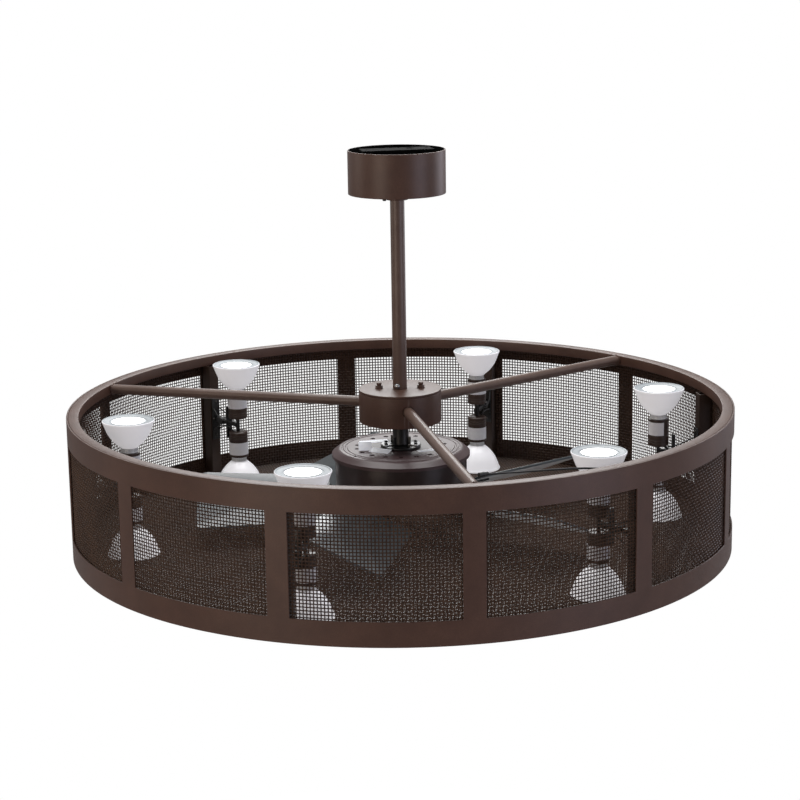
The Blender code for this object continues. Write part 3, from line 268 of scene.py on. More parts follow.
def outwards(turn: float, radius: float, height: float) -> np.ndarray:
    """Matrix that lays a piece's Z axis level and pointing away from the rod, at a turn and radius."""
    return spin(turn) @ move(radius, 0, height) @ spin(math.pi / 2, "Y")


def carry(points: np.ndarray, matrix: np.ndarray) -> np.ndarray:
    """Put points through a four-by-four matrix: point' = rotation point + shift."""
    return points @ matrix[:3, :3].T + matrix[:3, 3]


@dataclass
class Surface:
    """Grids of points gathered into one mesh, each with the finish that it takes."""

    points: list = field(default_factory=list)
    quads: list = field(default_factory=list)
    slots: list = field(default_factory=list)
    count: int = 0

    def add(self, grid: np.ndarray, wrap_rows: bool = False, wrap_columns: bool = False, slot: int = 0,
            keep: np.ndarray | None = None) -> "Surface":
        """Add a grid of points, with one quad between each four neighbours.

        Args:
            grid: Points as rows, columns and xyz. Rows run down the outer side, columns turn about +Z.
            wrap_rows: Whether the last row joins the first.
            wrap_columns: Whether the last column joins the first.
            slot: Number of the finish that the quads take.
            keep: Which quads stay, as rows and columns, or None for all.

        Returns:
            This surface.
        """
        rows, columns = grid.shape[:2]
        index = np.arange(rows * columns).reshape(rows, columns) + self.count
        if wrap_rows:
            index = np.vstack([index, index[:1]])
        if wrap_columns:
            index = np.hstack([index, index[:, :1]])
        quads = np.stack([index[:-1, :-1], index[1:, :-1], index[1:, 1:], index[:-1, 1:]], axis=-1)
        quads = quads[keep] if keep is not None else quads.reshape(-1, 4)
        self.points.append(grid.reshape(-1, 3))
        self.quads.append(quads.reshape(-1, 4))
        self.slots.append(np.full(len(self.quads[-1]), slot))
        self.count += rows * columns
        return self

    def place(self, matrix: np.ndarray) -> "Surface":
        """Put all the points gathered so far through a matrix."""
        self.points = [carry(p, matrix) for p in self.points]
        return self

    def take(self, other: "Surface", matrix: np.ndarray | None = None) -> "Surface":
        """Add another surface's grids to this one.

        Args:
            other: Surface whose grids are added.
            matrix: Matrix that they are put through, or None.

        Returns:
            This surface.
        """
        for points, quads, slots in zip(other.points, other.quads, other.slots):
            self.points.append(points if matrix is None else carry(points, matrix))
            self.quads.append(quads + self.count)
            self.slots.append(slots)
        self.count += other.count
        return self

    def mesh(self, name: str, weld: bool = True) -> bpy.types.Mesh:
        """Write the grids into a Blender mesh.

        Args:
            name: Name of the mesh.
            weld: Whether poles and seams are merged and the faces turned outwards.

        Returns:
            The mesh, smooth shaded.
        """
        points = np.concatenate(self.points)
        quads = np.concatenate(self.quads)
        mesh = bpy.data.meshes.new(name)
        mesh.vertices.add(len(points))
        mesh.vertices.foreach_set("co", points.astype(np.float32).ravel())
        mesh.loops.add(quads.size)
        mesh.loops.foreach_set("vertex_index", quads.astype(np.int32).ravel())
        mesh.polygons.add(len(quads))
        mesh.polygons.foreach_set("loop_start", np.arange(0, quads.size, 4, dtype=np.int32))
        mesh.polygons.foreach_set("material_index", np.concatenate(self.slots).astype(np.int32))
        mesh.update(calc_edges=True)
        mesh.validate()
        if weld:
            shape = bmesh.new()
            shape.from_mesh(mesh)
            bmesh.ops.remove_doubles(shape, verts=shape.verts, dist=0.000005)
            bmesh.ops.dissolve_degenerate(shape, edges=shape.edges, dist=0.000002)
            loose = [v for v in shape.verts if not v.link_faces]
            bmesh.ops.delete(shape, geom=loose, context="VERTS")
            bmesh.ops.recalc_face_normals(shape, faces=shape.faces)
            shape.to_mesh(mesh)
            shape.free()
        mesh.shade_smooth()
        return mesh


def show(name: str, surface: Surface | bpy.types.Mesh, finishes: list[Finish], slot: str, *replaces: str,
         body: Body = Body.STEM, sharp: float = 32.0, weld: bool = True) -> bpy.types.Object:
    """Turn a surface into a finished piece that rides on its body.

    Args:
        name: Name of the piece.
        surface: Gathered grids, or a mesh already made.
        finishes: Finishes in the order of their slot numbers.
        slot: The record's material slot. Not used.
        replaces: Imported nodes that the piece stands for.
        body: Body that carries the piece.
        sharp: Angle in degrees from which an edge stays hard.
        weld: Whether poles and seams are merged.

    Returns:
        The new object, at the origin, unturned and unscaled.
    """
    mesh = surface if isinstance(surface, bpy.types.Mesh) else surface.mesh(name, weld)
    for finish in finishes:
        mesh.materials.append(finish.build())
    mesh.set_sharp_from_angle(angle=math.radians(sharp))
    piece = bpy.data.objects.new(name, mesh)
    bpy.context.scene.collection.objects.link(piece)
    if replaces:
        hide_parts(*replaces)
    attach(piece, body.value)
    LOG.info("%s: %d faces on %s", name, len(mesh.polygons), body.value)
    return piece


def carve(mesh: bpy.types.Mesh, cutter: Surface) -> bpy.types.Mesh:
    """Cut a closed surface out of a closed mesh.

    Args:
        mesh: Mesh to be cut.
        cutter: What is taken away.

    Returns:
        The mesh that is left, smooth shaded.
    """
    whole = bpy.data.objects.new("carved", mesh)
    tool = bpy.data.objects.new("carver", cutter.mesh("carver"))
    for item in (whole, tool):
        bpy.context.scene.collection.objects.link(item)
    cut = whole.modifiers.new("cut", "BOOLEAN")
    cut.operation = "DIFFERENCE"
    cut.solver = "EXACT"
    cut.object = tool
    bpy.context.view_layer.update()
    graph = bpy.context.evaluated_depsgraph_get()
    left = bpy.data.meshes.new_from_object(whole.evaluated_get(graph))
    bpy.data.objects.remove(tool)
    bpy.data.objects.remove(whole)
    left.shade_smooth()
    return left


def soften(profile: np.ndarray, radius: float, steps: int = 4, closed: bool = True) -> np.ndarray:
    """Round the corners of a profile.

    Each corner P between its neighbours becomes the curve (1-t)^2 A + 2t(1-t) P + t^2 B, where A and B
    lie on its two sides, a radius away or less than half of the side.

    Args:
        profile: Points as count and two numbers.
        radius: How far from the corner the rounding starts.
        steps: Stretches in each rounding.
        closed: Whether the last point joins the first.

    Returns:
        The rounded profile.
    """
    before = np.roll(profile, 1, axis=0) - profile
    after = np.roll(profile, -1, axis=0) - profile
    far_before = np.linalg.norm(before, axis=1, keepdims=True) + 1e-12
    far_after = np.linalg.norm(after, axis=1, keepdims=True) + 1e-12
    start = profile + before / far_before * np.minimum(radius, far_before * 0.45)
    end = profile + after / far_after * np.minimum(radius, far_after * 0.45)
    t = np.linspace(0, 1, steps + 1)[None, :, None]
    curve = (1 - t) ** 2 * start[:, None] + 2 * t * (1 - t) * profile[:, None] + t ** 2 * end[:, None]
    if closed:
        return curve.reshape(-1, 2)
    return np.vstack([profile[:1], curve[1:-1].reshape(-1, 2), profile[-1:]])


def round_grid(radius: float | np.ndarray, angle: float | np.ndarray,
               height: float | np.ndarray) -> np.ndarray:
    """Points (r cos a, r sin a, z) over radii, angles and heights that broadcast together."""
    return np.stack(np.broadcast_arrays(radius * np.cos(angle), radius * np.sin(angle), height), axis=-1)


def lathe(profile: np.ndarray, segments: int) -> np.ndarray:
    """Turn a profile of radius and height about the Z axis: rows along it, columns round the axis."""
    return round_grid(profile[:, :1], np.arange(segments) * TURN / segments, profile[:, 1:])


def turned(outline: Outline, segments: int, edge: float, steps: int = 4, closed: bool = False,
           slot: int = 0) -> Surface:
    """Turned piece with softened corners.

    Args:
        outline: Radius and height of each corner, down the outer side.
        segments: Stretches round the axis.
        edge: How far from a corner its rounding starts.
        steps: Stretches in each rounding.
        closed: Whether the last corner joins the first.
        slot: Number of the finish.

    Returns:
        The surface, solid where an open outline starts and ends on the axis.
    """
    profile = soften(np.array(outline, float), edge, steps, closed)
    return Surface().add(lathe(profile, segments), wrap_rows=closed, wrap_columns=True, slot=slot)


def cylinder(radius: float, top: float, bottom: float, segments: int = 24,
             edge: float = HAIR_EDGE) -> Surface:
    """Round pin about the Z axis with softened ends."""
    return turned(((0, top), (radius, top), (radius, bottom), (0, bottom)), segments, edge)


def ring(inner: float, outer: float, bottom: float, top: float, segments: int,
         edge: float = FINE_EDGE) -> Surface:
    """Closed ring of a rectangular section with softened edges."""
    section = ((outer, top), (outer, bottom), (inner, bottom), (inner, top))
    return turned(section, segments, edge, closed=True)


def plate(outline: np.ndarray, thickness: float, edge: float) -> Surface:
    """Flat plate with softened edges, half its thickness each side of its plane.

    Rows go from the middle of the top face over the rounded edge to the middle of the lower face:
    point = outline - inset times its outward normal, at the row's height.

    Args:
        outline: Corner points that turn about +Z, as count and two numbers.
        thickness: Whole thickness.
        edge: How far in the rounding of the edge starts.

    Returns:
        The closed surface.
    """
    along = np.roll(outline, -1, axis=0) - np.roll(outline, 1, axis=0)
    normal = np.stack([along[:, 1], -along[:, 0]], axis=1)
    normal /= np.linalg.norm(normal, axis=1, keepdims=True) + 1e-12
    half = thickness / 2
    angle = np.linspace(0, math.pi / 2, 4)
    inset = edge * (1 - np.sin(angle))
    height = half - edge * (1 - np.cos(angle))
    inset = np.concatenate([inset, inset[::-1]])
    height = np.concatenate([height, -height[::-1]])
    rows = outline[None] - inset[:, None, None] * normal[None]
    rows = np.concatenate([rows, np.broadcast_to(height[:, None, None], (*rows.shape[:2], 1))], axis=2)
    middle = outline.mean(axis=0)
    cap = np.broadcast_to(np.array([*middle, half]), (1, len(outline), 3))
    foot = np.broadcast_to(np.array([*middle, -half]), (1, len(outline), 3))
    return Surface().add(np.concatenate([cap, rows, foot]), wrap_columns=True)


def rounded_rectangle(length: float, width: float, corner: float, steps: int = 4) -> np.ndarray:
    """Outline of a rectangle about the origin with rounded corners, turning about +Z."""
    x, y = length / 2, width / 2
    return soften(np.array([(x, -y), (x, y), (-x, y), (-x, -y)]), corner, steps)


def bar(size: Triple, edge: float) -> Surface:
    """Rectangular bar about the origin with softened edges."""
    return plate(rounded_rectangle(size[0], size[1], edge * 1.5, 3), size[2], edge)


def sweep(path: np.ndarray, radius: float | np.ndarray, sides: int = 12,
          upright: Triple = (0, 0, 1)) -> Surface:
    """Round bar along a path with closed ends.

    point = path + radius (cos a side + sin a up), where side = tangent x upright and up = side x tangent.

    Args:
        path: Points as count and xyz.
        radius: One radius, or one for each point.
        sides: Points round the section.
        upright: A direction that the path never runs along.

    Returns:
        The closed surface.
    """
    tangent = np.gradient(path, axis=0)
    tangent /= np.linalg.norm(tangent, axis=1, keepdims=True)
    side = np.cross(tangent, np.array(upright, float))
    side /= np.linalg.norm(side, axis=1, keepdims=True)
    up = np.cross(side, tangent)
    angle = np.arange(sides) * TURN / sides
    reach = np.broadcast_to(radius, len(path))[:, None, None]
    section = np.cos(angle)[None, :, None] * side[:, None] + np.sin(angle)[None, :, None] * up[:, None]
    rows = path[:, None] + reach * section
    ends = [np.broadcast_to(path[i], (1, sides, 3)) for i in (0, -1)]
    return Surface().add(np.concatenate([ends[0], rows, ends[1]]), wrap_columns=True)


def smooth_path(knots: list[Triple], count: int) -> np.ndarray:
    """Smooth curve through knots: a cubic between each two, with the slope that their neighbours give.

    Args:
        knots: Points that the curve goes through.
        count: Number of points of the curve.

    Returns:
        The curve, as count and xyz.
    """
    points = np.array(knots, float)
    padded = np.vstack([2 * points[0] - points[1], points, 2 * points[-1] - points[-2]])
    spot = np.linspace(0, len(points) - 1 - 1e-9, count)
    base = spot.astype(int)
    t = (spot - base)[:, None]
    p0, p1, p2, p3 = (padded[base + k] for k in range(4))
    return 0.5 * (2 * p1 + (p2 - p0) * t + (2 * p0 - 5 * p1 + 4 * p2 - p3) * t ** 2
                  + (3 * p1 - p0 - 3 * p2 + p3) * t ** 3)


def add_wires(surface: Surface, centres: np.ndarray, first: np.ndarray, second: np.ndarray,
              radius: float) -> None:
    """Add wires of a four-cornered section: corner = centre + radius times plus or minus a direction.

    Args:
        surface: Surface that takes the wires.
        centres: Middles as wires, points and xyz.
        first: Direction of the first corner, and turned round of the third.
        second: Direction of the second corner, and turned round of the fourth.
        radius: Radius of the wire.
    """
    section = radius * np.stack(np.broadcast_arrays(first, second, -first, -second), axis=-2)
    for wire in centres[:, :, None] + section:
        surface.add(wire, wrap_columns=True)


def screw_head(radius: float, height: float) -> Surface:
    """Pan head with its cross recess, standing on z = 0.

    The top is lowered near two lines at right angles, where the distance to the nearer line is small.

    Args:
        radius: Radius of the head, which the recess follows.
        height: Height of the head.

    Returns:
        The closed surface.
    """
    shares = np.array([(0.0, 1.0), (0.35, 1.0), (0.7, 0.92), (1.0, 0.35), (1.0, 0.0), (0.0, 0.0)])
    edge_share, slot_share, reach_share, top_share, sink_share = 0.2, 0.16, 0.62, 0.8, 0.35
    grid = lathe(soften(shares * (radius, height), radius * edge_share, 3, False), 24)
    near = np.minimum(np.abs(grid[..., 0]), np.abs(grid[..., 1]))
    far = np.hypot(grid[..., 0], grid[..., 1])
    sunk = (near < radius * slot_share) & (far < radius * reach_share) & (grid[..., 2] > height * top_share)
    grid[..., 2] = grid[..., 2] - np.where(sunk, height * sink_share, 0)
    return Surface().add(grid, wrap_columns=True)


def hexagon(across: float) -> np.ndarray:
    """Outline of a hexagon from its width across flats."""
    return round_grid(across / 2 / math.cos(math.pi / 6), np.arange(6) * TURN / 6, 0.0)[:, :2]


def cap_nut(across: float, height: float) -> Surface:
    """Cap nut on z = 0: a hexagon, a waist and a round cap above it.

    Args:
        across: Width across flats, which the cap and waist follow.
        height: Height of the whole nut.

    Returns:
        The closed surfaces.
    """
    shares = np.array([(0, 1), (0.34, 1), (0.41, 0.86), (0.41, 0.62), (0.3, 0.56), (0.3, 0.46), (0, 0.45)])
    hexagon_share, edge_share = 0.5, 0.05
    edge, thickness = across * edge_share, height * hexagon_share
    nut = plate(hexagon(across), thickness, edge).place(move(0, 0, thickness / 2))
    return nut.take(turned(shares * (across, height), 24, edge))


@dataclass
class CeilingHanger:
    """Canopy cup, its collar and set screw, the downrod and the bolt at its foot."""

    canopy_radius: float = 88.5 * MM
    canopy_top: float = -1.0 * MM
    canopy_bottom: float = -80.0 * MM
    canopy_wall: float = 1.6 * MM
    canopy_hole: float = 17.0 * MM
    canopy_bend: float = 1.2 * MM
    canopy_inner_bend: float = 0.8 * MM
    collar_radius: float = 20.0 * MM
    collar_top: float = -80.3 * MM
    collar_bottom: float = -91.3 * MM
    collar_edge: float = 1.0 * MM
    screw_rise: float = 4.0 * MM
    screw_turn: float = math.radians(179)
    screw_gap: float = 0.3 * MM
    shank_radius: float = 2.5 * MM
    shank_length: float = 8.0 * MM
    knob: Outline = mm((0, 6.4), (4.8, 6.4), (6.0, 5.4), (6.0, 0.8), (5.2, 0), (0, 0))
    knob_edge: float = 0.4 * MM
    knurls: int = 24
    knurl_share: float = 0.05
    rod_radius: float = 13.0 * MM
    rod_bore: float = 10.5 * MM
    rod_top: float = -22.0 * MM
    rod_bottom: float = -448.3 * MM
    rod_edge: float = 0.6 * MM
    rod_fit: float = 0.2 * MM
    foot_radius: float = 24.0 * MM
    foot_height: float = 4.0 * MM
    bolt_z: float = -434.2 * MM
    bolt_turn: float = math.radians(237)
    bolt_gap: float = 0.1 * MM
    bolt_dome: Outline = mm((0, 4.3), (2.4, 4.1), (4.4, 2.6), (5.2, 0.6), (5.2, 0), (0, 0))
    bolt_edge: float = 1.0 * MM
    bolt_radius: float = 2.6 * MM
    bolt_length: float = 28.0 * MM
    bolt_nut_across: float = 8.5 * MM
    bolt_nut_height: float = 3.6 * MM
    bolt_nut_edge: float = 0.4 * MM

    def canopy_surface(self) -> Surface:
        """Turned cup: outer side, softened floor edge, floor hole and inner side.

        Returns:
            The cup, with slot 1 on its inner side.
        """
        r, w, hole, low = self.canopy_radius, self.canopy_wall, self.canopy_hole, self.canopy_bottom
        outer = ((r - w, self.canopy_top), (r, self.canopy_top), (r, low), (hole, low), (hole, low + w))
        inner = ((hole, low + w), (r - w, low + w), (r - w, self.canopy_top))
        return turned(outer, 192, self.canopy_bend, 5).take(
            turned(inner, 192, self.canopy_inner_bend, slot=1))

    def set_screw_surface(self) -> Surface:
        """Knurled knob on a shank: the knob's radius ripples with the angle.

        Returns:
            The screw, standing on z = 0 with its shank below.
        """
        grid = lathe(soften(np.array(self.knob), self.knob_edge, 3, False), 96)
        angle = np.arange(96) * TURN / 96
        grid[..., :2] *= (1 - self.knurl_share * (np.cos(self.knurls * angle) > 0))[None, :, None]
        return cylinder(self.shank_radius, 0, -self.shank_length).add(grid, wrap_columns=True)

    def build(self) -> None:
        """Make the canopy, its collar and set screw, the rod and its bolt."""
        show("canopy_cup", self.canopy_surface(), [POWDER_COAT, BLACK_INSIDE], "bronze_paint", "canopy",
             body=Body.CANOPY)
        r = self.rod_radius
        collar = ring(r + self.rod_fit, self.collar_radius, self.collar_bottom, self.collar_top, 96,
                      self.collar_edge)
        show("collar_ring", collar, [POWDER_COAT], "bronze_paint", "canopy_collar", body=Body.CANOPY)
        seat = outwards(self.screw_turn, self.collar_radius + self.screw_gap,
                        self.collar_bottom + self.screw_rise)
        show("collar_set_screw", self.set_screw_surface().place(seat), [SATIN_BLACK], "black_paint",
             "collar_screw", body=Body.CANOPY)
        tube = turned(((r, self.rod_top), (r, self.rod_bottom), (self.rod_bore, self.rod_bottom),
                       (self.rod_bore, self.rod_top)), 96, self.rod_edge, closed=True)
        foot = ring(r - self.rod_fit, self.foot_radius, self.rod_bottom,
                    self.rod_bottom + self.foot_height, 64)
        show("rod_tube", tube.take(foot), [LIT_TUBE_COAT], "bronze_paint", "downrod")
        self.build_bolt()

    def build_bolt(self) -> None:
        """Bright cross bolt at the rod's foot: a domed head in front and a nut behind."""
        nut = plate(hexagon(self.bolt_nut_across), self.bolt_nut_height, self.bolt_nut_edge)
        bolt = turned(self.bolt_dome, 48, self.bolt_edge)
        bolt.take(cylinder(self.bolt_radius, 0, -self.bolt_length))
        bolt.take(nut, move(0, 0, -self.bolt_length - self.bolt_nut_edge))
        seat = outwards(self.bolt_turn, self.rod_radius + self.bolt_gap, self.bolt_z)
        show("rod_cross_bolt", bolt.place(seat), [BRIGHT_STEEL], "zinc_steel", "rod_bolt")


@dataclass
class Hub:
    """Flat hub drum with its top disc, two cap nuts and the three spokes."""

    radius: float = 76.0 * MM
    top: float = -440.0 * MM
    bottom: float = -500.5 * MM
    wall: float = 2.5 * MM
    bore: float = 15.1 * MM
    bend: float = 1.0 * MM
    cover: float = 4.0 * MM
    cover_bore: float = 13.2 * MM
    cover_edge: float = 0.7 * MM
    cover_gap: float = 0.3 * MM
    nut_offset: float = 38.5 * MM
    nut_turn: float = math.radians(-11)
    nut_across: float = 11.6 * MM
    nut_height: float = 11.0 * MM
    nut_gap: float = 0.1 * MM
    stud_radius: float = 3.0 * MM
    stud_length: float = 60.0 * MM
    washer_bore: float = 3.2 * MM
    washer_radius: float = 7.4 * MM
    washer_height: float = 1.0 * MM
    spoke_radius: float = 9.5 * MM
    spoke_turns: tuple[float, ...] = (30, 150, 270)
    spoke_start: float = 60.0 * MM
    spoke_end: float = 587.0 * MM
    spoke_start_z: float = -469.0 * MM
    spoke_end_z: float = -475.5 * MM
    spoke_fit: float = 1.1 * MM
    hole_reach: tuple[float, float] = (50.0 * MM, 100.0 * MM)
    bead: float = 1.5 * MM
    bead_ripple: float = 0.35 * MM
    bead_rise: float = 0.3 * MM
    bead_inset: float = 0.4 * MM
    bead_back: float = 0.9 * MM

    def spoke_path(self, turn: float, start: float, end: float) -> np.ndarray:
        """Straight axis of a spoke between two radii: height falls evenly along it.

        Args:
            turn: Angle of the spoke in degrees.
            start: Radius where the path starts.
            end: Radius where it ends.

        Returns:
            The path, as count and xyz.
        """
        reach = np.linspace(start, end, 24)
        share = (reach - self.spoke_start) / (self.spoke_end - self.spoke_start)
        height = self.spoke_start_z + (self.spoke_end_z - self.spoke_start_z) * share
        return round_grid(reach, math.radians(turn), height)

    def build(self) -> None:
        """Make the hub, its disc, nuts and spokes."""
        r, w, low, bore = self.radius, self.wall, self.bottom, self.bore
        top = self.top - self.cover - self.cover_gap
        wall = turned(((r, top), (r, low), (bore, low), (bore, low + w), (r - w, low + w), (r - w, top)),
                      192, self.bend, 5, closed=True)
        holes = Surface()
        for turn in self.spoke_turns:
            path = self.spoke_path(turn, *self.hole_reach)
            holes.take(sweep(path, self.spoke_radius + self.spoke_fit, 48))
        show("hub_drum", carve(wall.mesh("hub_wall"), holes), [POWDER_COAT], "bronze_paint", "hub_shell")
        disc = ring(self.cover_bore, r, self.top - self.cover, self.top, 192, self.cover_edge)
        show("hub_disc", disc, [POWDER_COAT], "bronze_paint", "hub_cover")
        for index in range(2):
            self.build_nut(index)
        for index, turn in enumerate(self.spoke_turns):
            tube = sweep(self.spoke_path(turn, self.spoke_start, self.spoke_end), self.spoke_radius, 48)
            show(f"spoke_tube_{index + 1}", tube, [LIT_TUBE_COAT], "bronze_paint", f"spoke_{index + 1}")
            self.weld_bead(index, turn)

    def build_nut(self, index: int) -> None:
        """Make one cap nut on its stud and washer.

        Args:
            index: 0 or 1, half a turn apart.
        """
        seat = spin(self.nut_turn + math.pi * index) @ move(self.nut_offset, 0, self.top + self.nut_gap)
        nut = cap_nut(self.nut_across, self.nut_height)
        nut.take(cylinder(self.stud_radius, 0, -self.stud_length))
        nut.take(ring(self.washer_bore, self.washer_radius, 0, self.washer_height, 48, HAIR_EDGE))
        show(f"hub_cap_nut_{index + 1}", nut.place(seat), [POWDER_COAT], "bronze_paint",
             f"hub_bolt_{index + 1}", sharp=25.0)

    def weld_bead(self, index: int, turn: float) -> None:
        """Lumpy fillet of weld round a spoke's end: a ring whose thickness ripples with the angle.

        Args:
            index: Number of the spoke, which shifts the ripple.
            turn: Angle of the spoke in degrees.
        """
        centre = self.spoke_path(turn, self.spoke_end - self.bead_inset, self.spoke_end)[0]
        angle = np.arange(72) * TURN / 72
        bead = self.bead + self.bead_ripple * np.sin(17 * angle) * np.sin(5 * angle + index)
        section = (np.arange(10) * TURN / 10)[:, None]
        reach = self.spoke_radius + self.bead_rise + bead * np.cos(section)
        grid = np.stack([bead * np.sin(section) - self.bead_back, reach * np.cos(angle),
                         reach * np.sin(angle)], axis=-1)
        torus = Surface().add(grid, wrap_rows=True, wrap_columns=True)
        torus.place(move(*centre) @ spin(math.radians(turn)))
        show(f"spoke_weld_{index + 1}", torus, [POWDER_COAT], "bronze_paint")


@dataclass
class Drum:
    """Windowed shell, its two rings, the woven wall behind the windows and the woven floor."""

    wall: float = 3.0 * MM
    soft_edge: float = 0.6 * MM
    top_band: float = 42.0 * MM
    bottom_band: float = 43.0 * MM
    windows: int = 12
    post_width: float = 38.0 * MM
    window_turn: float = math.radians(-0.6)
    ring_outer: float = 606.7 * MM
    ring_size: float = 19.0 * MM
    ring_edge: float = 1.3 * MM
    foot_height: float = 3.0 * MM
    foot_edge: float = 0.7 * MM
    post_stretches: int = 6
    window_stretches: int = 30
    mesh_radius: float = 604.7 * MM
    mesh_top_gap: float = 0.3 * MM
    mesh_foot_gap: float = 6.0 * MM
    mesh_columns: int = 640
    mesh_rows: int = 40
    wire_radius: float = 1.05 * MM
    wire_wave: float = 0.7 * MM
    floor_wires: int = 101
    floor_wire_radius: float = 1.0 * MM
    floor_wave: float = 0.3 * MM
    floor_inset: float = 1.0 * MM
    floor_lift_share: float = 2.1

    def shell_surface(self) -> Surface:
        """Cylinder with twelve window gaps and its wall's thickness.

        The outer and inner skins are grids of angle and height without the quads inside a window, and
        each window's four edges are strips from the outer skin to the inner one.

        Returns:
            The closed surface.
        """
        half_post = self.post_width / SHELL_RADIUS / 2
        cell = TURN / self.windows
        post = np.linspace(-half_post, half_post, self.post_stretches + 1)[:-1]
        gap = np.linspace(half_post, cell - half_post, self.window_stretches + 1)[:-1]
        start = np.arange(self.windows)[:, None] * cell
        angle = (start + np.concatenate([post, gap])).ravel() + self.window_turn
        in_gap = np.tile(np.arange(len(post) + len(gap)) >= len(post), self.windows)
        high, low = RIM_Z - self.top_band, DRUM_BOTTOM_Z + self.bottom_band
        height = np.array([RIM_Z, high, low, DRUM_BOTTOM_Z])[:, None]
        keep = np.ones((3, len(angle)), bool)
        keep[1, in_gap] = False
        radii = np.array([SHELL_RADIUS, SHELL_RADIUS - self.wall])[:, None]
        shape = Surface()
        for radius in radii:
            shape.add(round_grid(radius, angle, height), wrap_columns=True, keep=keep)
        for level, cut in ((RIM_Z, None), (DRUM_BOTTOM_Z, None), (high, in_gap[None]), (low, in_gap[None])):
            shape.add(round_grid(radii, angle, level), wrap_columns=True, keep=cut)
        for side in (start + (half_post, cell - half_post)).ravel() + self.window_turn:
            shape.add(round_grid(radii, side, np.array([high, low])))
        return shape

    def build(self) -> None:
        """Make the shell, the rings and the woven pieces."""
        shell = show("drum_wall", self.shell_surface(), [POWDER_COAT], "bronze_paint", "drum_shell")
        bevel = shell.modifiers.new("soft_edges", "BEVEL")
        bevel.width = self.soft_edge
        bevel.segments = 2
        bevel.limit_method = "ANGLE"
        bevel.angle_limit = math.radians(40)
        inner = self.ring_outer - self.ring_size
        top = ring(inner, self.ring_outer, RIM_Z - self.ring_size, RIM_Z, 360, self.ring_edge)
        show("rim_ring", top, [POWDER_COAT], "bronze_paint", "top_ring")
        low = ring(inner, self.ring_outer, DRUM_BOTTOM_Z, DRUM_BOTTOM_Z + self.foot_height, 360,
                   self.foot_edge)
        show("foot_ring", low, [POWDER_COAT], "bronze_paint", "bottom_ring")
        self.build_wall_mesh()
        self.build_floor_mesh()

    def build_wall_mesh(self) -> None:
        """Woven wall in four quarters, each of upright and level wires that pass over and under.

        At upright wire i and level wire j the radius is R + c (-1)^(i+j) for the upright wire and
        R - c (-1)^(i+j) for the level one, with c the wave's height.
        """
        top, bottom = RIM_Z - self.ring_size - self.mesh_top_gap, DRUM_BOTTOM_Z + self.mesh_foot_gap
        row = np.arange(self.mesh_rows)
        level = top - (top - bottom) / self.mesh_rows * (row + 0.5)
        quarter = self.mesh_columns // 4
        for index in range(4):
            surface = Surface()
            column = np.arange(quarter + 1) + quarter * index
            angle = (column + 0.5) * TURN / self.mesh_columns
            out, side = round_grid(1.0, angle, 0.0), round_grid(1.0, angle + TURN / 4, 0.0)
            ends = np.concatenate([[0], row, [self.mesh_rows - 1]])
            wave = self.wire_wave * (-1.0) ** (column[:-1, None] + ends)
            centres = round_grid(self.mesh_radius + wave, angle[:-1, None],
                                 np.concatenate([[top], level, [bottom]]))
            add_wires(surface, centres, out[:-1, None], side[:-1, None], self.wire_radius)
            wave = self.wire_wave * (-1.0) ** (column + row[:, None])
            centres = round_grid(self.mesh_radius - wave, angle, level[:, None])
            add_wires(surface, centres, out[None], np.array([0.0, 0.0, -1.0]), self.wire_radius)
            show(f"woven_wall_{index + 1}", surface, [WIRE_COAT], "bronze_paint", "mesh_liner", sharp=60.0,
                 weld=False)

    def build_floor_mesh(self) -> None:
        """Woven floor: two sets of wires at right angles, cut off at the drum's wall.

        Wire j of a set runs at y = p j, and its crossing i is at x = p i and z = Z + c (-1)^(i+j) for one
        set and Z - c (-1)^(i+j) for the other, which is then mirrored to run along y.
        """
        reach = self.ring_outer - self.floor_inset
        pitch = reach / self.floor_wires
        middle = DRUM_BOTTOM_Z + self.foot_height + self.floor_lift_share * self.floor_wire_radius
        lines = np.arange(-self.floor_wires, self.floor_wires + 1)
        for family, sign in enumerate((1, -1)):
            for half, wires in enumerate((lines[lines < 0], lines[lines >= 0])):
                surface = Surface()
                for wire in wires:
                    inside = lines[np.hypot(lines * pitch, wire * pitch) < reach]
                    if len(inside) < 2:
                        continue
                    height = middle + sign * self.floor_wave * (-1.0) ** (inside + wire)
                    centre = np.stack([inside * pitch, np.full(len(inside), wire * pitch), height], axis=1)
                    add_wires(surface, centre[None], np.array([0.0, 1.0, 0.0]), np.array([0.0, 0.0, -1.0]),
                              self.floor_wire_radius)
                if family == 1:
                    surface.points = [p[:, [1, 0, 2]] for p in surface.points]
                    surface.quads = [q[:, ::-1] for q in surface.quads]
                show(f"woven_floor_{family + 1}_{half + 1}", surface, [WIRE_COAT], "bronze_paint",
                     "bottom_guard", sharp=60.0, weld=False)


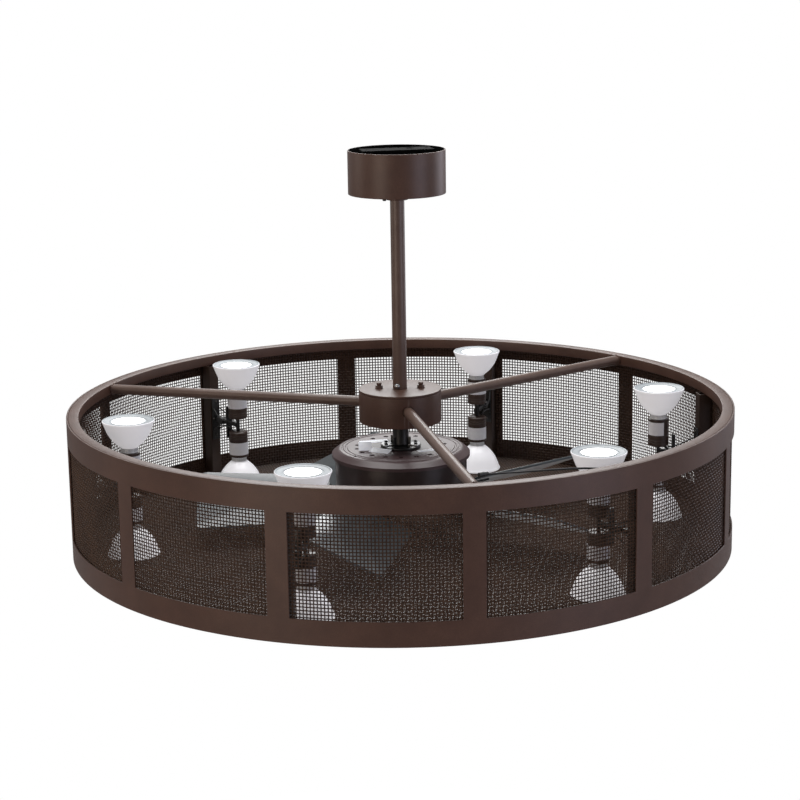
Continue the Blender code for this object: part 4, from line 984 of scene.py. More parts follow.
@dataclass
class LampStation:
    """One of six stations: channel, twin holder with its arm, an up lamp and a down lamp."""

    index: int
    label_turn: float
    circle: float = 500.0 * MM
    up_face: float = -469.0 * MM
    down_face: float = -720.2 * MM
    lamp_turn_step: float = 0.7
    lamp_body: Outline = mm((46.6, -0.1), (47.5, -0.8), (47.4, -2.8), (46.4, -4.4), (45.2, -7.0),
                            (43.6, -11.5), (41.2, -18.0), (38.2, -25.0), (33.8, -32.0), (28.2, -39.0),
                            (22.4, -44.6), (17.4, -48.6), (15.8, -50.4))
    lamp_bend: float = 1.6 * MM
    neck: Outline = mm((15.8, -50.4), (14.9, -51.2), (14.9, -57.4), (15.3, -58.0), (15.3, -59.2),
                       (12.6, -59.2), (12.6, -80.0), (0.0, -80.0))
    neck_edge: float = 0.4 * MM
    fins: int = 18
    fin_top: float = -51.8 * MM
    fin_bottom: float = -57.2 * MM
    fin_root_share: float = 0.87
    fin_wave_share: float = 0.25
    frost: Outline = mm((30.4, -2.4), (30.6, -3.4), (33.6, -3.4), (34.4, -2.2), (43.4, -1.4), (45.0, 0.0),
                        (46.6, -0.1))
    frost_edge: float = 0.5 * MM
    lens: Outline = mm((0.0, -1.3), (10.0, -1.4), (20.0, -1.7), (27.0, -2.0), (30.4, -2.4))
    lamp_length: float = 59.2 * MM
    lamp_gap: float = 0.3 * MM
    socket_radius: float = 19.0 * MM
    socket_height: float = 52.5 * MM
    socket: Outline = mm((12.9, 0), (19.0, 0), (19.0, -4.4), (18.5, -5.0), (18.5, -30.6), (19.0, -31.2),
                         (19.0, -38.6), (18.3, -39.0), (18.3, -40.2), (19.0, -40.6), (19.0, -43.6),
                         (18.3, -44.0), (18.3, -45.2), (19.0, -45.6), (19.0, -50.4), (17.0, -52.5),
                         (6.0, -52.5), (0, -52.5))
    socket_edge: float = 0.35 * MM
    socket_bore: Outline = mm((0.0, -44.5), (12.9, -44.5), (12.9, 0.0))
    label_arc: float = math.radians(205)
    label_sink: float = 0.25 * MM
    label_rise: float = 0.05 * MM
    label_top: float = -5.2 * MM
    label_bottom: float = -30.4 * MM
    stem_radius: float = 3.5 * MM
    stem_overlap: float = 1.0 * MM
    strap_offset: float = 30.0 * MM
    strap_size: Triple = (4.0 * MM, 12.0 * MM, 66.0 * MM)
    arm_inset: float = 8.0 * MM
    arm_size: tuple[float, float] = (10.0 * MM, 9.0 * MM)
    pad_gap: float = 0.3 * MM
    pad_inset: float = 1.8 * MM
    pad_size: Triple = (3.0 * MM, 18.0 * MM, 86.0 * MM)
    bar_edge: float = 0.5 * MM
    arm_edge: float = 0.8 * MM
    knuckle_reach: float = 50.0 * MM
    knuckle_radius: float = 7.5 * MM
    knuckle_half: float = 8.0 * MM
    channel_outer: float = 602.2 * MM
    channel_size: tuple[float, float] = (25.0 * MM, 22.0 * MM)
    channel_wall: float = 2.0 * MM
    channel_edge: float = 0.7 * MM
    channel_gap: float = 19.3 * MM
    channel_foot: float = -721.4 * MM
    screw_rises: tuple[float, ...] = (-35.0 * MM, 0.0, 35.0 * MM)
    screw_inset: float = 3.6 * MM
    middle_screw_shift: float = 6.5 * MM
    screw_radius: float = 2.6 * MM
    screw_height: float = 2.2 * MM
    lead_radius: float = 1.25 * MM

    def middle(self) -> float:
        """Height half way between the two lamp faces."""
        return (self.up_face + self.down_face) / 2

    def half_gap(self) -> float:
        """Half of the height between the two sockets."""
        return (self.up_face - self.down_face) / 2 - self.lamp_length - self.lamp_gap - self.socket_height

    def own_turn(self) -> float:
        """Angle from the first station to this one."""
        return TURN * self.index / 6

    def lamp_surface(self) -> Surface:
        """Flared lamp, face up at z = 0: the slotted neck's radius drops between its fins.

        Returns:
            Body, neck, frosted ring and lit lens, with slots 0 to 3.
        """
        neck = soften(np.array(self.neck), self.neck_edge, 3, False)
        grid = lathe(neck, 144)
        slot = (np.cos(self.fins * (np.arange(144) * TURN / 144)) > self.fin_wave_share) & (
            (neck[:, 1:] < self.fin_top) & (neck[:, 1:] > self.fin_bottom))
        grid[..., :2] *= np.where(slot, self.fin_root_share, 1.0)[..., None]
        lamp = turned(self.lamp_body, 96, self.lamp_bend, 3).add(grid, wrap_columns=True, slot=1)
        lamp.take(turned(self.frost, 96, self.frost_edge, 3, slot=2))
        return lamp.add(lathe(np.array(self.lens), 96), wrap_columns=True, slot=3)

    def socket_surface(self) -> Surface:
        """Socket with its mouth at z = 0: lip, seat of the label, ribbed cap and bore."""
        return turned(self.socket, 96, self.socket_edge, 3).add(
            lathe(np.array(self.socket_bore), 96), wrap_columns=True)

    def label_surface(self) -> Surface:
        """Paper band part of the way round a socket: a thin curved sheet with closed edges.

        Returns:
            The band, with its middle towards +X.
        """
        angle = np.linspace(-self.label_arc / 2, self.label_arc / 2, 64)
        inner, outer = self.socket_radius - self.label_sink, self.socket_radius + self.label_rise
        section = np.array([(inner, self.label_top), (outer, self.label_top), (outer, self.label_bottom),
                            (inner, self.label_bottom)])
        grid = round_grid(section[:, :1], angle, section[:, 1:])
        band = Surface().add(grid, wrap_rows=True)
        for column in (0, -1):
            band.add(grid[[[0, 1], [3, 2]], column])
        return band

    def build(self) -> None:
        """Make the station's pieces at their places."""
        label = self.index + 1
        place = spin(self.own_turn()) @ move(self.circle, 0, 0)
        flip = spin(math.pi, "X")
        up = place @ move(0, 0, self.up_face) @ spin(self.lamp_turn_step * self.index)
        down = place @ move(0, 0, self.down_face) @ flip
        for side, node, seat in (("upper", "up", up), ("lower", "down", down)):
            show(f"lamp_{side}_{label}", self.lamp_surface().place(seat),
                 [LAMP_BODY, LAMP_NECK, LAMP_FROST, LAMP_LENS], "lamp_white", f"lamp_{node}_{label}")
        mouth = self.lamp_length + self.lamp_gap
        upper = place @ move(0, 0, self.up_face - mouth)
        lower = place @ move(0, 0, self.down_face + mouth) @ flip
        holder = Surface().take(self.socket_surface(), upper).take(self.socket_surface(), lower)
        show(f"twin_socket_{label}", holder.take(self.bracket_surface()), [SOCKET_PHENOLIC, SATIN_BLACK],
             "socket_black", f"lamp_holder_{label}", sharp=25.0)
        lean = self.label_turn - self.own_turn()
        for side, seat in (("upper", upper @ spin(lean)), ("lower", lower @ spin(-lean))):
            show(f"socket_label_{side}_{label}", self.label_surface().place(seat), [BARE_LABEL],
                 "lamp_white")
        self.build_channel()
        self.build_leads()

    def bracket_surface(self) -> Surface:
        """Stem between the sockets, the strap behind them and the arm out to the channel.

        Returns:
            The closed surfaces at their place, with slot 1.
        """
        reach = self.channel_outer - self.channel_size[0] - self.pad_gap - self.circle
        end = self.half_gap() + self.stem_overlap
        parts = cylinder(self.stem_radius, end, -end, 32, FINE_EDGE)
        parts.take(bar(self.strap_size, self.bar_edge), move(self.strap_offset, 0, 0))
        parts.take(bar((reach - self.arm_inset, *self.arm_size), self.arm_edge),
                   move((reach - self.arm_inset) / 2, 0, 0))
        knuckle = cylinder(self.knuckle_radius, self.knuckle_half, -self.knuckle_half, 32, self.arm_edge)
        parts.take(knuckle, move(self.knuckle_reach, 0, 0) @ spin(math.pi / 2, "X"))
        parts.take(bar(self.pad_size, self.bar_edge), move(reach - self.pad_inset, 0, 0))
        parts.slots = [np.ones_like(s) for s in parts.slots]
        return parts.place(spin(self.own_turn()) @ move(self.circle, 0, self.middle()))

    def build_channel(self) -> None:
        """Upright channel open to the wall, with softened edges, and the bright screws on its face."""
        depth, width = self.channel_size
        outer, wall = self.channel_outer, self.channel_wall
        inner, half = outer - depth, width / 2
        section = np.array([(outer, half), (inner, half), (inner, -half), (outer, -half),
                            (outer, wall - half), (inner + wall, wall - half), (inner + wall, half - wall),
                            (outer, half - wall)])
        loop = soften(section, self.channel_edge, 3)
        rows = np.stack([np.column_stack([loop, np.full(len(loop), level)])
                         for level in (RIM_Z - self.channel_gap, self.channel_foot)])
        channel = Surface().add(rows, wrap_columns=True)
        middle = len(loop) // 2
        for row in rows:
            channel.add(np.stack([row[:middle], row[middle:][::-1]]))
        turn = spin(self.own_turn())
        show(f"upright_channel_{self.index + 1}", channel.place(turn), [SHADED_CHANNEL_COAT], "bronze_paint",
             f"lamp_channel_{self.index + 1}", sharp=40.0)
        screws = Surface()
        for rise in self.screw_rises:
            shift = self.middle_screw_shift if rise == 0 else 0.0
            seat = move(inner - self.screw_inset, shift, self.middle() + rise) @ spin(-math.pi / 2, "Y")
            screws.take(screw_head(self.screw_radius, self.screw_height), seat)
        show(f"channel_screws_{self.index + 1}", screws.place(turn), [DULL_SCREW], "zinc_steel")

    def build_leads(self) -> None:
        """Two short black leads from each socket's back to the channel, in loose loops."""
        gap = self.half_gap() / MM
        leads = Surface()
        for side in (-1, 1):
            for end in (-1, 1):
                route = np.array([(9, side * 6, end * (gap + 1)), (13, side * 9, end * (gap - 5)),
                                  (25, side * 13, end * 5), (44, side * 13, end * 8),
                                  (60, side * 10, end * 15), (72, side * 7, end * 22)]) * MM
                leads.take(sweep(smooth_path(route, 28), self.lead_radius, 8, (0, 1, 0)))
        leads.place(spin(self.own_turn()) @ move(self.circle, 0, self.middle()))
        show(f"socket_leads_{self.index + 1}", leads, [CABLE_SHEATH], "lead_black")


@dataclass
class Motor:
    """Stem and flange, the lid with its vents, the housing and the cap under the blades."""

    stem_top: float = -493.7 * MM
    stem_radius: float = 14.8 * MM
    stem_bore: float = 8.3 * MM
    collar_radius: float = 24.0 * MM
    collar_height: float = 4.0 * MM
    flange_radius: float = 37.0 * MM
    flange_height: float = 4.0 * MM
    flare: float = 3.0 * MM
    stem_edge: float = 0.7 * MM
    stem_gap: float = 0.3 * MM
    rib_turns: tuple[float, ...] = (35, 145, 215, 325)
    rib_size: Triple = (6.0 * MM, 2.4 * MM, 16.0 * MM)
    rib_offset: float = 2.2 * MM
    rib_rise: float = 12.0 * MM
    ear_inner: float = 17.5 * MM
    ear_outer: float = 36.0 * MM
    ear_half_arc: float = 0.62
    ear_thickness: float = 1.8 * MM
    ear_rise: float = 5.4 * MM
    ear_screw_circle: float = 29.0 * MM
    ear_screw_lean: float = 0.34
    ear_screw_radius: float = 3.3 * MM
    ear_screw_height: float = 2.6 * MM
    lid_top: float = -551.0 * MM
    lid_wall: float = 2.0 * MM
    lid_steps: Outline = mm((8.3, 0.0), (70.0, 0.0), (99.0, 0.0), (100.0, -0.9), (103.0, -0.9), (104.0, 0.0),
                            (106.5, 0.0), (107.5, -0.8), (109.5, -0.8), (110.5, 0.0))
    lid_flat: float = 111.0 * MM
    lid_radius: float = 128.0 * MM
    lid_height: float = 16.0 * MM
    lid_drop: float = 9.9 * MM
    lid_bend_share: float = 0.53
    vents: int = 18
    vent_circle: float = 82.0 * MM
    vent_radius: float = 4.8 * MM
    vent_turn: float = math.radians(18.6)
    vent_cut: float = 20.0 * MM
    screw_spots: tuple[tuple[float, float], ...] = ((108, 219), (107, 312), (112, 126), (112, 45))
    screw_radius: float = 2.4 * MM
    screw_height: float = 2.0 * MM
    screw_sink: float = 1.2 * MM
    screw_lean: float = 0.14
    label_thickness: float = 0.3 * MM
    label_edge: float = 0.1 * MM
    label_gap: float = 0.2 * MM
    labels: tuple[tuple[float, ...], ...] = (
        (-66, -24, 4, 55, 24, 17), (-50, 40, 14, 0, 54, 20), (-38, -38, -28, 12, 40, 18),
        (46, -34, 24, 0, 32, 13))
    housing_radius: float = 122.0 * MM
    housing_wall: float = 2.0 * MM
    housing_drop: float = 7.5 * MM
    housing_bottom: float = -638.0 * MM
    housing_edge: float = 0.6 * MM
    cap_top: float = -652.3 * MM
    cap_bottom: float = -674.3 * MM
    cap_wall: float = 2.0 * MM
    cap_radius: float = 46.0 * MM
    cap_flat: float = 35.0 * MM
    cap_rise: float = 11.0 * MM
    cap_boss: float = 13.0 * MM
    cap_bend: float = 5.0 * MM

    def build(self) -> None:
        """Make the motor's pieces from the stem down."""
        self.build_stem()
        self.build_ears()
        self.build_lid()
        self.build_lid_trim()
        self.build_housing()

    def foot(self) -> float:
        """Height of the stem's foot, a hair above the lid."""
        return self.lid_top + self.stem_gap

    def build_stem(self) -> None:
        """Black tube with a collar at its top, a flared flange at its foot and four ribs."""
        foot, r, top = self.foot(), self.stem_radius, self.stem_top
        flange = foot + self.flange_height
        stem = turned(((self.collar_radius, top), (self.collar_radius, top - self.collar_height),
                       (r, top - self.collar_height), (r, flange + self.flare), (r + self.flare, flange),
                       (self.flange_radius, flange), (self.flange_radius, foot), (self.stem_bore, foot),
                       (self.stem_bore, top)), 96, self.stem_edge, closed=True)
        for turn in self.rib_turns:
            seat = spin(math.radians(turn)) @ move(r + self.rib_offset, 0, foot + self.rib_rise)
            stem.take(bar(self.rib_size, FINE_EDGE), seat)
        show("motor_stem_tube", stem, [SATIN_BLACK], "black_paint", "motor_stem")

    def build_ears(self) -> None:
        """Two bright ear plates on the flange: arcs of a flat ring, with two screws in each."""
        ears, bolts = Surface(), Surface()
        angle = np.linspace(-self.ear_half_arc, self.ear_half_arc, 24)
        outline = np.concatenate([round_grid(self.ear_outer, angle, 0.0)[:, :2],
                                  round_grid(self.ear_inner, angle[::-1], 0.0)[:, :2]])
        for side in range(2):
            seat = spin(VIEW_TURN + math.pi * side) @ move(0, 0, self.foot() + self.ear_rise)
            ears.take(plate(outline, self.ear_thickness, FINE_EDGE), seat)
            for lean in (-self.ear_screw_lean, self.ear_screw_lean):
                spot = seat @ spin(lean) @ move(self.ear_screw_circle, 0, self.ear_thickness / 2)
                bolts.take(screw_head(self.ear_screw_radius, self.ear_screw_height), spot)
        show("stem_ear_plates", ears, [ZINC_PLATE], "zinc_steel")
        show("stem_ear_screws", bolts, [SATIN_BLACK], "black_paint")

    def lid_profile(self) -> np.ndarray:
        """Flat top, shallow steps, a shoulder, an upright lip, and the inside.

        The shoulder steepens as a parabola up to its bend, then goes straight on at the slope it has there.

        Returns:
            The closed profile, as radius and height.
        """
        run, wall, bend = self.lid_radius - self.lid_flat, self.lid_wall, self.lid_bend_share
        share = np.linspace(0, 1, 25)
        fall = np.where(share < bend, share ** 2, 2 * share * bend - bend ** 2) / (2 * bend - bend ** 2)
        height = self.lid_top - self.lid_drop * fall
        skirt = self.lid_top - self.lid_height
        return np.vstack([np.array(self.lid_steps) + (0, self.lid_top),
                          np.stack([self.lid_flat + run * share, height], axis=1),
                          [(self.lid_radius, skirt), (self.lid_radius - wall, skirt)],
                          np.stack([self.lid_flat + (run - wall) * share, height - wall], axis=1)[::-1],
                          [(self.lid_steps[0][0], self.lid_top - wall)]])

    def build_lid(self) -> None:
        """Pressed lid with real vent holes."""
        lid = Surface().add(lathe(self.lid_profile(), 180), wrap_rows=True, wrap_columns=True).mesh("lid")
        holes = Surface()
        for index in range(self.vents):
            spot = spin(self.vent_turn + TURN * index / self.vents) @ move(self.vent_circle, 0, self.lid_top)
            holes.take(cylinder(self.vent_radius, self.vent_cut, -self.vent_cut, edge=0.0), spot)
        show("motor_lid", carve(lid, holes), [LID_ENAMEL], "lid_paint", "motor_top_plate")

    def build_lid_trim(self) -> None:
        """Screws and bare labels on the lid.

        A screw's spot is its radius in mm and its angle in degrees. A label's numbers are its place in mm,
        its turn and lean in degrees, and its length and width in mm.
        """
        screws = Surface()
        for radius, turn in self.screw_spots:
            spot = move(radius * MM, 0, self.lid_top - self.screw_sink) @ spin(self.screw_lean, "Y")
            screws.take(screw_head(self.screw_radius, self.screw_height),
                        spin(math.radians(turn) + VIEW_TURN) @ spot)
        show("lid_screws", screws, [DULL_SCREW], "black_paint")
        labels = Surface()
        for x, y, turn, lean, length, width in self.labels:
            sheet = bar((length * MM, width * MM, self.label_thickness), self.label_edge)
            rise = self.label_gap + 0.5 * width * MM * math.sin(math.radians(lean))
            spot = spin(VIEW_TURN) @ move(x * MM, y * MM, self.lid_top + rise)
            labels.take(sheet, spot @ spin(math.radians(turn)) @ spin(math.radians(lean), "X"))
        show("lid_labels", labels, [LID_LABEL], "lamp_white")

    def build_housing(self) -> None:
        """Open can under the lid, and a shallow cap with a thick middle boss under the carrier."""
        top = self.lid_top - self.housing_drop
        can = ring(self.housing_radius - self.housing_wall, self.housing_radius, self.housing_bottom, top,
                   180, self.housing_edge)
        show("motor_can", can, [SHADED_HOUSING_ENAMEL], "bronze_paint", "motor_housing")
        top, low, r, flat = self.cap_top, self.cap_bottom, self.cap_radius, self.cap_flat
        bend, floor, inside = low + self.cap_rise, low + self.cap_wall, r - self.cap_wall
        cap = turned(((0.0, low), (flat, low), (r, bend), (r, top), (inside, top), (inside, bend),
                      (flat, floor), (self.cap_boss, floor), (self.cap_boss, top), (self.stem_bore, top),
                      (self.stem_bore, floor), (0.0, floor)), 128, self.cap_bend, 6)
        show("under_cap", cap, [POWDER_COAT], "bronze_paint", "bottom_cap")


@dataclass
class Rotor:
    """Blade carrier and the five pitched blades."""

    blades: int = 5
    first_turn: float = math.radians(25.5)
    pitch: float = math.radians(23)
    axis_z: float = -648.0 * MM
    root: float = 134.0 * MM
    tip: float = 380.0 * MM
    root_chord: float = 136.0 * MM
    tip_chord: float = 168.0 * MM
    corner: float = 16.0 * MM
    thickness: float = 5.0 * MM
    blade_edge: float = 1.2 * MM
    disc_bore: float = 22.0 * MM
    disc_radius: float = 104.0 * MM
    disc_bottom: float = -648.3 * MM
    disc_thickness: float = 5.0 * MM
    disc_edge: float = 0.6 * MM
    arm_start: float = 80.0 * MM
    arm_end: float = 196.0 * MM
    arm_thickness: float = 3.0 * MM
    arm_edge: float = 0.8 * MM
    arm_gap: float = 0.3 * MM
    arm_half: float = 15.0 * MM
    arm_spread: float = 14.0 * MM
    twist_start: float = 96.0 * MM
    twist_run: float = 34.0 * MM
    spread_start: float = 120.0 * MM
    spread_run: float = 26.0 * MM
    round_start: float = 186.0 * MM
    round_run: float = 12.0 * MM
    end_share: float = 0.05
    screw_spots: tuple[tuple[float, float], ...] = mm((150, -18), (150, 18), (182, 0))
    screw_drop: float = 5.8 * MM
    screw_radius: float = 3.6 * MM
    screw_height: float = 2.2 * MM

    def turn(self, index: int) -> np.ndarray:
        """Matrix that turns the X axis to a blade's."""
        return spin(self.first_turn + TURN * index / self.blades)

    def blade_frame(self, index: int) -> np.ndarray:
        """Frame of a blade: X out along it, Z square to its face."""
        return self.turn(index) @ move(0, 0, self.axis_z) @ spin(-self.pitch, "X")

    def blade_outline(self) -> np.ndarray:
        """Long tapered blade with round corners, small at the root and wide at the tip."""
        half_root, half_tip = self.root_chord / 2, self.tip_chord / 2
        return soften(np.array([(self.root, -half_root), (self.tip, -half_tip), (self.tip, half_tip),
                                (self.root, half_root)]), self.corner, 10)

    def build(self) -> None:
        """Make the blades, and the carrier with its twisted arms."""
        for index in range(self.blades):
            blade = plate(self.blade_outline(), self.thickness, self.blade_edge)
            show(f"fan_blade_{index + 1}", blade.place(self.blade_frame(index)), [BLADE_FOIL], "blade_grey",
                 f"blade_{index + 1}", body=Body.ROTOR)
        carrier = ring(self.disc_bore, self.disc_radius, self.disc_bottom,
                       self.disc_bottom + self.disc_thickness, 144, self.disc_edge)
        screws = Surface()
        for index in range(self.blades):
            carrier.take(self.arm_surface(), self.turn(index))
            for along, across in self.screw_spots:
                spot = self.blade_frame(index) @ move(along, across, -self.screw_drop) @ spin(math.pi, "X")
                screws.take(screw_head(self.screw_radius, self.screw_height), spot)
        show("blade_spider", carrier, [SATIN_BLACK], "black_paint", "blade_carrier", body=Body.ROTOR)
        show("blade_screws", screws, [ZINC_PLATE], "zinc_steel", body=Body.ROTOR)

    def arm_surface(self) -> Surface:
        """Twisted strap arm along +X: its section turns from level at the hub to the blade's pitch.

        Twist, drop and width ease from one value to the next as 3s^2 - 2s^3 over their own runs, and the
        width falls as a quarter round at the arm's end.

        Returns:
            The closed surface.
        """
        reach = np.linspace(self.arm_start, self.arm_end, 40)
        share = np.clip((reach - self.twist_start) / self.twist_run, 0, 1)
        ease = share ** 2 * (3 - 2 * share)
        twist = -self.pitch * ease
        drop = (self.thickness + self.arm_thickness) / 2 + self.arm_gap
        level = self.disc_bottom + self.disc_thickness / 2
        height = level * (1 - ease) + (self.axis_z - drop * math.cos(self.pitch)) * ease
        shift = -drop * math.sin(self.pitch) * ease
        late = np.clip((reach - self.spread_start) / self.spread_run, 0, 1)
        half = self.arm_half + self.arm_spread * late ** 2 * (3 - 2 * late)
        past = np.clip((reach - self.round_start) / self.round_run, 0, 1)
        half = half * np.sqrt(np.clip(1 - past ** 2, self.end_share, 1))
        section = rounded_rectangle(2.0, self.arm_thickness, self.arm_edge, 2)
        wide = section[:, 0] * half[:, None]
        thick = np.broadcast_to(section[:, 1], wide.shape)
        cosine, sine = np.cos(twist)[:, None], np.sin(twist)[:, None]
        rows = np.stack(np.broadcast_arrays(reach[:, None], shift[:, None] + wide * cosine - thick * sine,
                                            height[:, None] + wide * sine + thick * cosine), axis=-1)
        ends = [np.broadcast_to(rows[i].mean(axis=0), (1, *rows.shape[1:])) for i in (0, -1)]
        return Surface().add(np.concatenate([ends[0], rows, ends[1]]), wrap_columns=True)


@dataclass
class CarriedNodes:
    """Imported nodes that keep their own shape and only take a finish, and the lamp lead's boot."""

    # The rotor shell takes the housing enamel, whose darker tone is painted shade.
    finishes: tuple[tuple[str, Finish], ...] = (
        ("ceiling_bracket", BLACK_INSIDE), ("hanger_ball", BLACK_INSIDE), ("hanger_pin", BRIGHT_STEEL),
        ("motor_shaft", BRIGHT_STEEL), ("stator", WINDING), ("rotor_shell", SHADED_HOUSING_ENAMEL),
        ("upper_bearing", BRIGHT_STEEL), ("lower_bearing", BRIGHT_STEEL), ("lamp_lead", CABLE_SHEATH))
    boot: Outline = mm((0, 9), (3.4, 9), (3.7, 2), (4.3, 1.4), (4.3, -9), (0, -9))
    boot_edge: float = 0.8 * MM
    boot_spot: Triple = (22.5 * MM, -551.5 * MM, RIM_Z + 2.6 * MM)
    boot_turn: float = math.radians(20)

    def dress(self) -> None:
        """Give each carried node its material, and put a moulded boot on the lamp lead's start."""
        seat = move(*self.boot_spot) @ spin(self.boot_turn) @ spin(TURN / 4, "Y")
        show("lead_boot", turned(self.boot, 40, self.boot_edge).place(seat), [CABLE_SHEATH], "lead_black")
        for name, finish in self.finishes:
            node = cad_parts[name]
            for slot in node.material_slots:
                slot.link = "OBJECT"
                slot.material = finish.build()
            LOG.info("%s: dressed", name)


@dataclass(frozen=True)
class SoftBox:
    """A soft light at a spot, turned to what it aims at and unseen by the camera."""

    name: str
    spot: Triple
    aim: Triple
    width: float
    height: float
    power: float
    colour: str

    def hang(self) -> None:
        """Make the area light."""
        data = bpy.data.lights.new(self.name, "AREA")
        data.shape = "RECTANGLE"
        data.size, data.size_y = self.width, self.height
        data.energy = self.power
        data.color = linear(self.colour)[:3]
        light = bpy.data.objects.new(self.name, data)
        light.visible_camera = False
        light.location = self.spot
        light.rotation_euler = (Vector(self.aim) - Vector(self.spot)).to_track_quat("-Z", "Y").to_euler()
        bpy.context.scene.collection.objects.link(light)


def seen_straight(tree: bpy.types.NodeTree) -> tuple[bpy.types.Node, bpy.types.NodeSocket]:
    """Add the nodes that tell rays which the camera sends, straight or through glass.

    Args:
        tree: Node tree that takes them.

    Returns:
        The light path node, and the socket that is one for such rays.
    """
    rays = add_node(tree, "ShaderNodeLightPath")
    seen = add_node(tree, "ShaderNodeMath", {
        0: rays.outputs["Is Camera Ray"], 1: rays.outputs["Is Transmission Ray"]}, operation="MAXIMUM")
    return rays, seen.outputs[0]


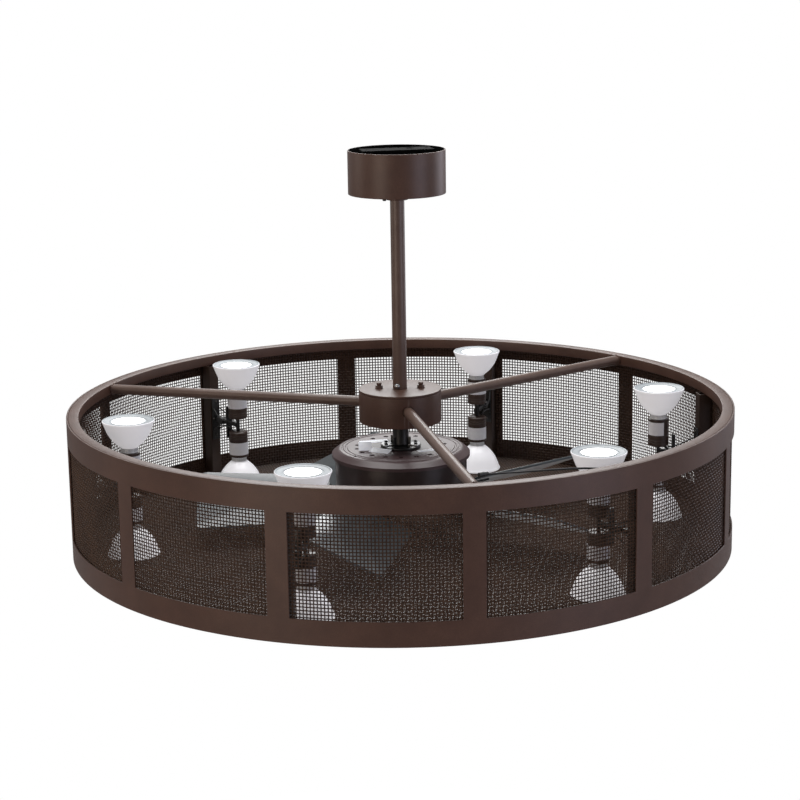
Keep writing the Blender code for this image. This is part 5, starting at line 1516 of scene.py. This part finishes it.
@dataclass
class Studio:
    """Camera at the photograph's view, soft lights, pale floor and white surround."""

    elevation: float = math.radians(12.98)
    distance: float = 3.829
    roll: float = math.radians(0.87)
    photo_px: float = 800
    focus_px: float = 2074
    shift_px: tuple[float, float] = (-0.2, 1.7)
    sensor_mm: float = 36
    clip: tuple[float, float] = (0.1, 60)
    soft_light: float = 0.18
    gloss_light: float = 0.42
    floor_z: float = -2.45
    floor_half: float = 12.0
    floor_lift: float = 0.45
    floor_fade: tuple[float, float] = (1.4, 2.8)
    lights: tuple[SoftBox, ...] = (
        SoftBox("overhead_box", (0.0, 0.45, 1.9), (0, 0.45, RIM_Z), 2.6, 1.9, 76.0, "#ffffff"),
        SoftBox("left_box", (-3.0, -2.45, -0.35), (0, 0, -0.5), 1.9, 1.9, 38.0, "#ffead8"),
        SoftBox("right_box", (2.6, -2.7, -0.3), (0, 0, -0.5), 1.9, 1.9, 34.0, "#ecebff"),
        SoftBox("left_side_box", (-3.5, 1.2, 0.1), (0, 0, -0.4), 1.6, 1.6, 14.0, "#fff2e6"),
        SoftBox("right_side_box", (3.6, 1.3, -0.1), (0, 0, -0.4), 1.8, 1.8, 30.0, "#f4f2ff"),
        SoftBox("back_box", (0.8, 3.95, 2.0), (0, 0, -0.45), 2.0, 2.0, 84.0, "#ffffff"))

    def camera(self) -> None:
        """Place the camera: back = (sin a cos e, -cos a cos e, sin e) from the rim's middle."""
        a, e = VIEW_TURN, self.elevation
        back = Vector((math.sin(a) * math.cos(e), -math.cos(a) * math.cos(e), math.sin(e)))
        right = Vector((math.cos(a), math.sin(a), 0))
        up = back.cross(right)
        side = right * math.cos(self.roll) - up * math.sin(self.roll)
        top = right * math.sin(self.roll) + up * math.cos(self.roll)
        data = bpy.data.cameras.new("camera")
        data.sensor_width = self.sensor_mm
        data.lens = self.focus_px / self.photo_px * self.sensor_mm
        data.shift_x, data.shift_y = (shift / self.photo_px for shift in self.shift_px)
        data.clip_start, data.clip_end = self.clip
        camera = bpy.data.objects.new("camera", data)
        turn = Matrix((side, top, back)).transposed().to_4x4()
        camera.matrix_world = Matrix.Translation(Vector((0, 0, RIM_Z)) + back * self.distance) @ turn
        bpy.context.scene.collection.objects.link(camera)
        bpy.context.scene.camera = camera

    def surround(self) -> None:
        """World that the camera and glass see as white, gloss as pale, and that else lights softly."""
        world = bpy.data.worlds.new("studio")
        bpy.context.scene.world = world
        world.use_nodes = True
        tree = world.node_tree
        tree.nodes.clear()
        rays, seen = seen_straight(tree)
        soft, sheen, white = (
            add_node(tree, "ShaderNodeBackground", {"Color": linear(colour), "Strength": strength})
            for colour, strength in (("#f4f5f8", self.soft_light), ("#ffffff", self.gloss_light),
                                     ("#ffffff", 1.0)))
        plain = add_node(tree, "ShaderNodeMixShader", {
            0: rays.outputs["Is Glossy Ray"], 1: soft.outputs[0], 2: sheen.outputs[0]})
        mix = add_node(tree, "ShaderNodeMixShader", {0: seen, 1: plain.outputs[0], 2: white.outputs[0]})
        add_node(tree, "ShaderNodeOutputWorld", {"Surface": mix.outputs[0]})

    def floor_material(self) -> bpy.types.Material:
        """Pale paint that is plain white further out, and clear to a camera under the floor.

        Returns:
            The floor's material.
        """
        material = bpy.data.materials.new("studio_floor_paint")
        material.use_nodes = True
        tree = material.node_tree
        tree.nodes.clear()
        seen = seen_straight(tree)[1]
        paint = add_node(tree, "ShaderNodeBsdfDiffuse", {"Color": linear("#f2f2f2")})
        lift, white = (
            add_node(tree, "ShaderNodeEmission", {"Color": linear("#ffffff"), "Strength": strength})
            for strength in (self.floor_lift, 1.0))
        lifted = add_node(tree, "ShaderNodeAddShader", {0: paint.outputs[0], 1: lift.outputs[0]})
        place = add_node(tree, "ShaderNodeTexCoord").outputs["Object"]
        flat = add_node(tree, "ShaderNodeMapping", {"Vector": place, "Scale": (1.0, 1.0, 0.0)})
        reach = add_node(tree, "ShaderNodeVectorMath", {0: flat.outputs["Vector"]}, operation="LENGTH")
        near, far = self.floor_fade
        fade = add_node(tree, "ShaderNodeMapRange", {
            "Value": reach.outputs["Value"], "From Min": near, "From Max": far})
        shown = add_node(tree, "ShaderNodeMixShader", {
            0: fade.outputs[0], 1: lifted.outputs[0], 2: white.outputs[0]})
        clear = add_node(tree, "ShaderNodeBsdfTransparent")
        under = add_node(tree, "ShaderNodeNewGeometry").outputs["Backfacing"]
        sided = add_node(tree, "ShaderNodeMixShader", {0: under, 1: shown.outputs[0], 2: clear.outputs[0]})
        mix = add_node(tree, "ShaderNodeMixShader", {0: seen, 1: paint.outputs[0], 2: sided.outputs[0]})
        add_node(tree, "ShaderNodeOutputMaterial", {"Surface": mix.outputs[0]})
        return material

    def floor(self) -> None:
        """Square floor well below the fan, which keeps the fan's shadow."""
        grid = np.array([[(-1, 1, 0), (1, 1, 0)], [(-1, -1, 0), (1, -1, 0)]]) * self.floor_half
        mesh = Surface().add(grid + (0, 0, self.floor_z)).mesh("studio_floor", weld=False)
        mesh.materials.append(self.floor_material())
        floor = bpy.data.objects.new("studio_floor", mesh)
        bpy.context.scene.collection.objects.link(floor)

    def build(self) -> None:
        """Set up the camera, world, floor and lights."""
        self.camera()
        self.surround()
        self.floor()
        for light in self.lights:
            light.hang()
        bpy.context.scene.view_settings.view_transform = "Standard"


def main() -> None:
    """Build every sub-assembly in order."""
    logging.basicConfig(level=logging.INFO, format="%(name)s %(message)s")
    Studio().build()
    CeilingHanger().build()
    Hub().build()
    Drum().build()
    towards_camera, first_label_lean = VIEW_TURN - TURN / 4, math.radians(-77)
    for index in range(6):
        LampStation(index, towards_camera + (first_label_lean if index == 0 else 0.0)).build()
    Motor().build()
    Rotor().build()
    CarriedNodes().dress()


if __name__ == "__main__":
    main()
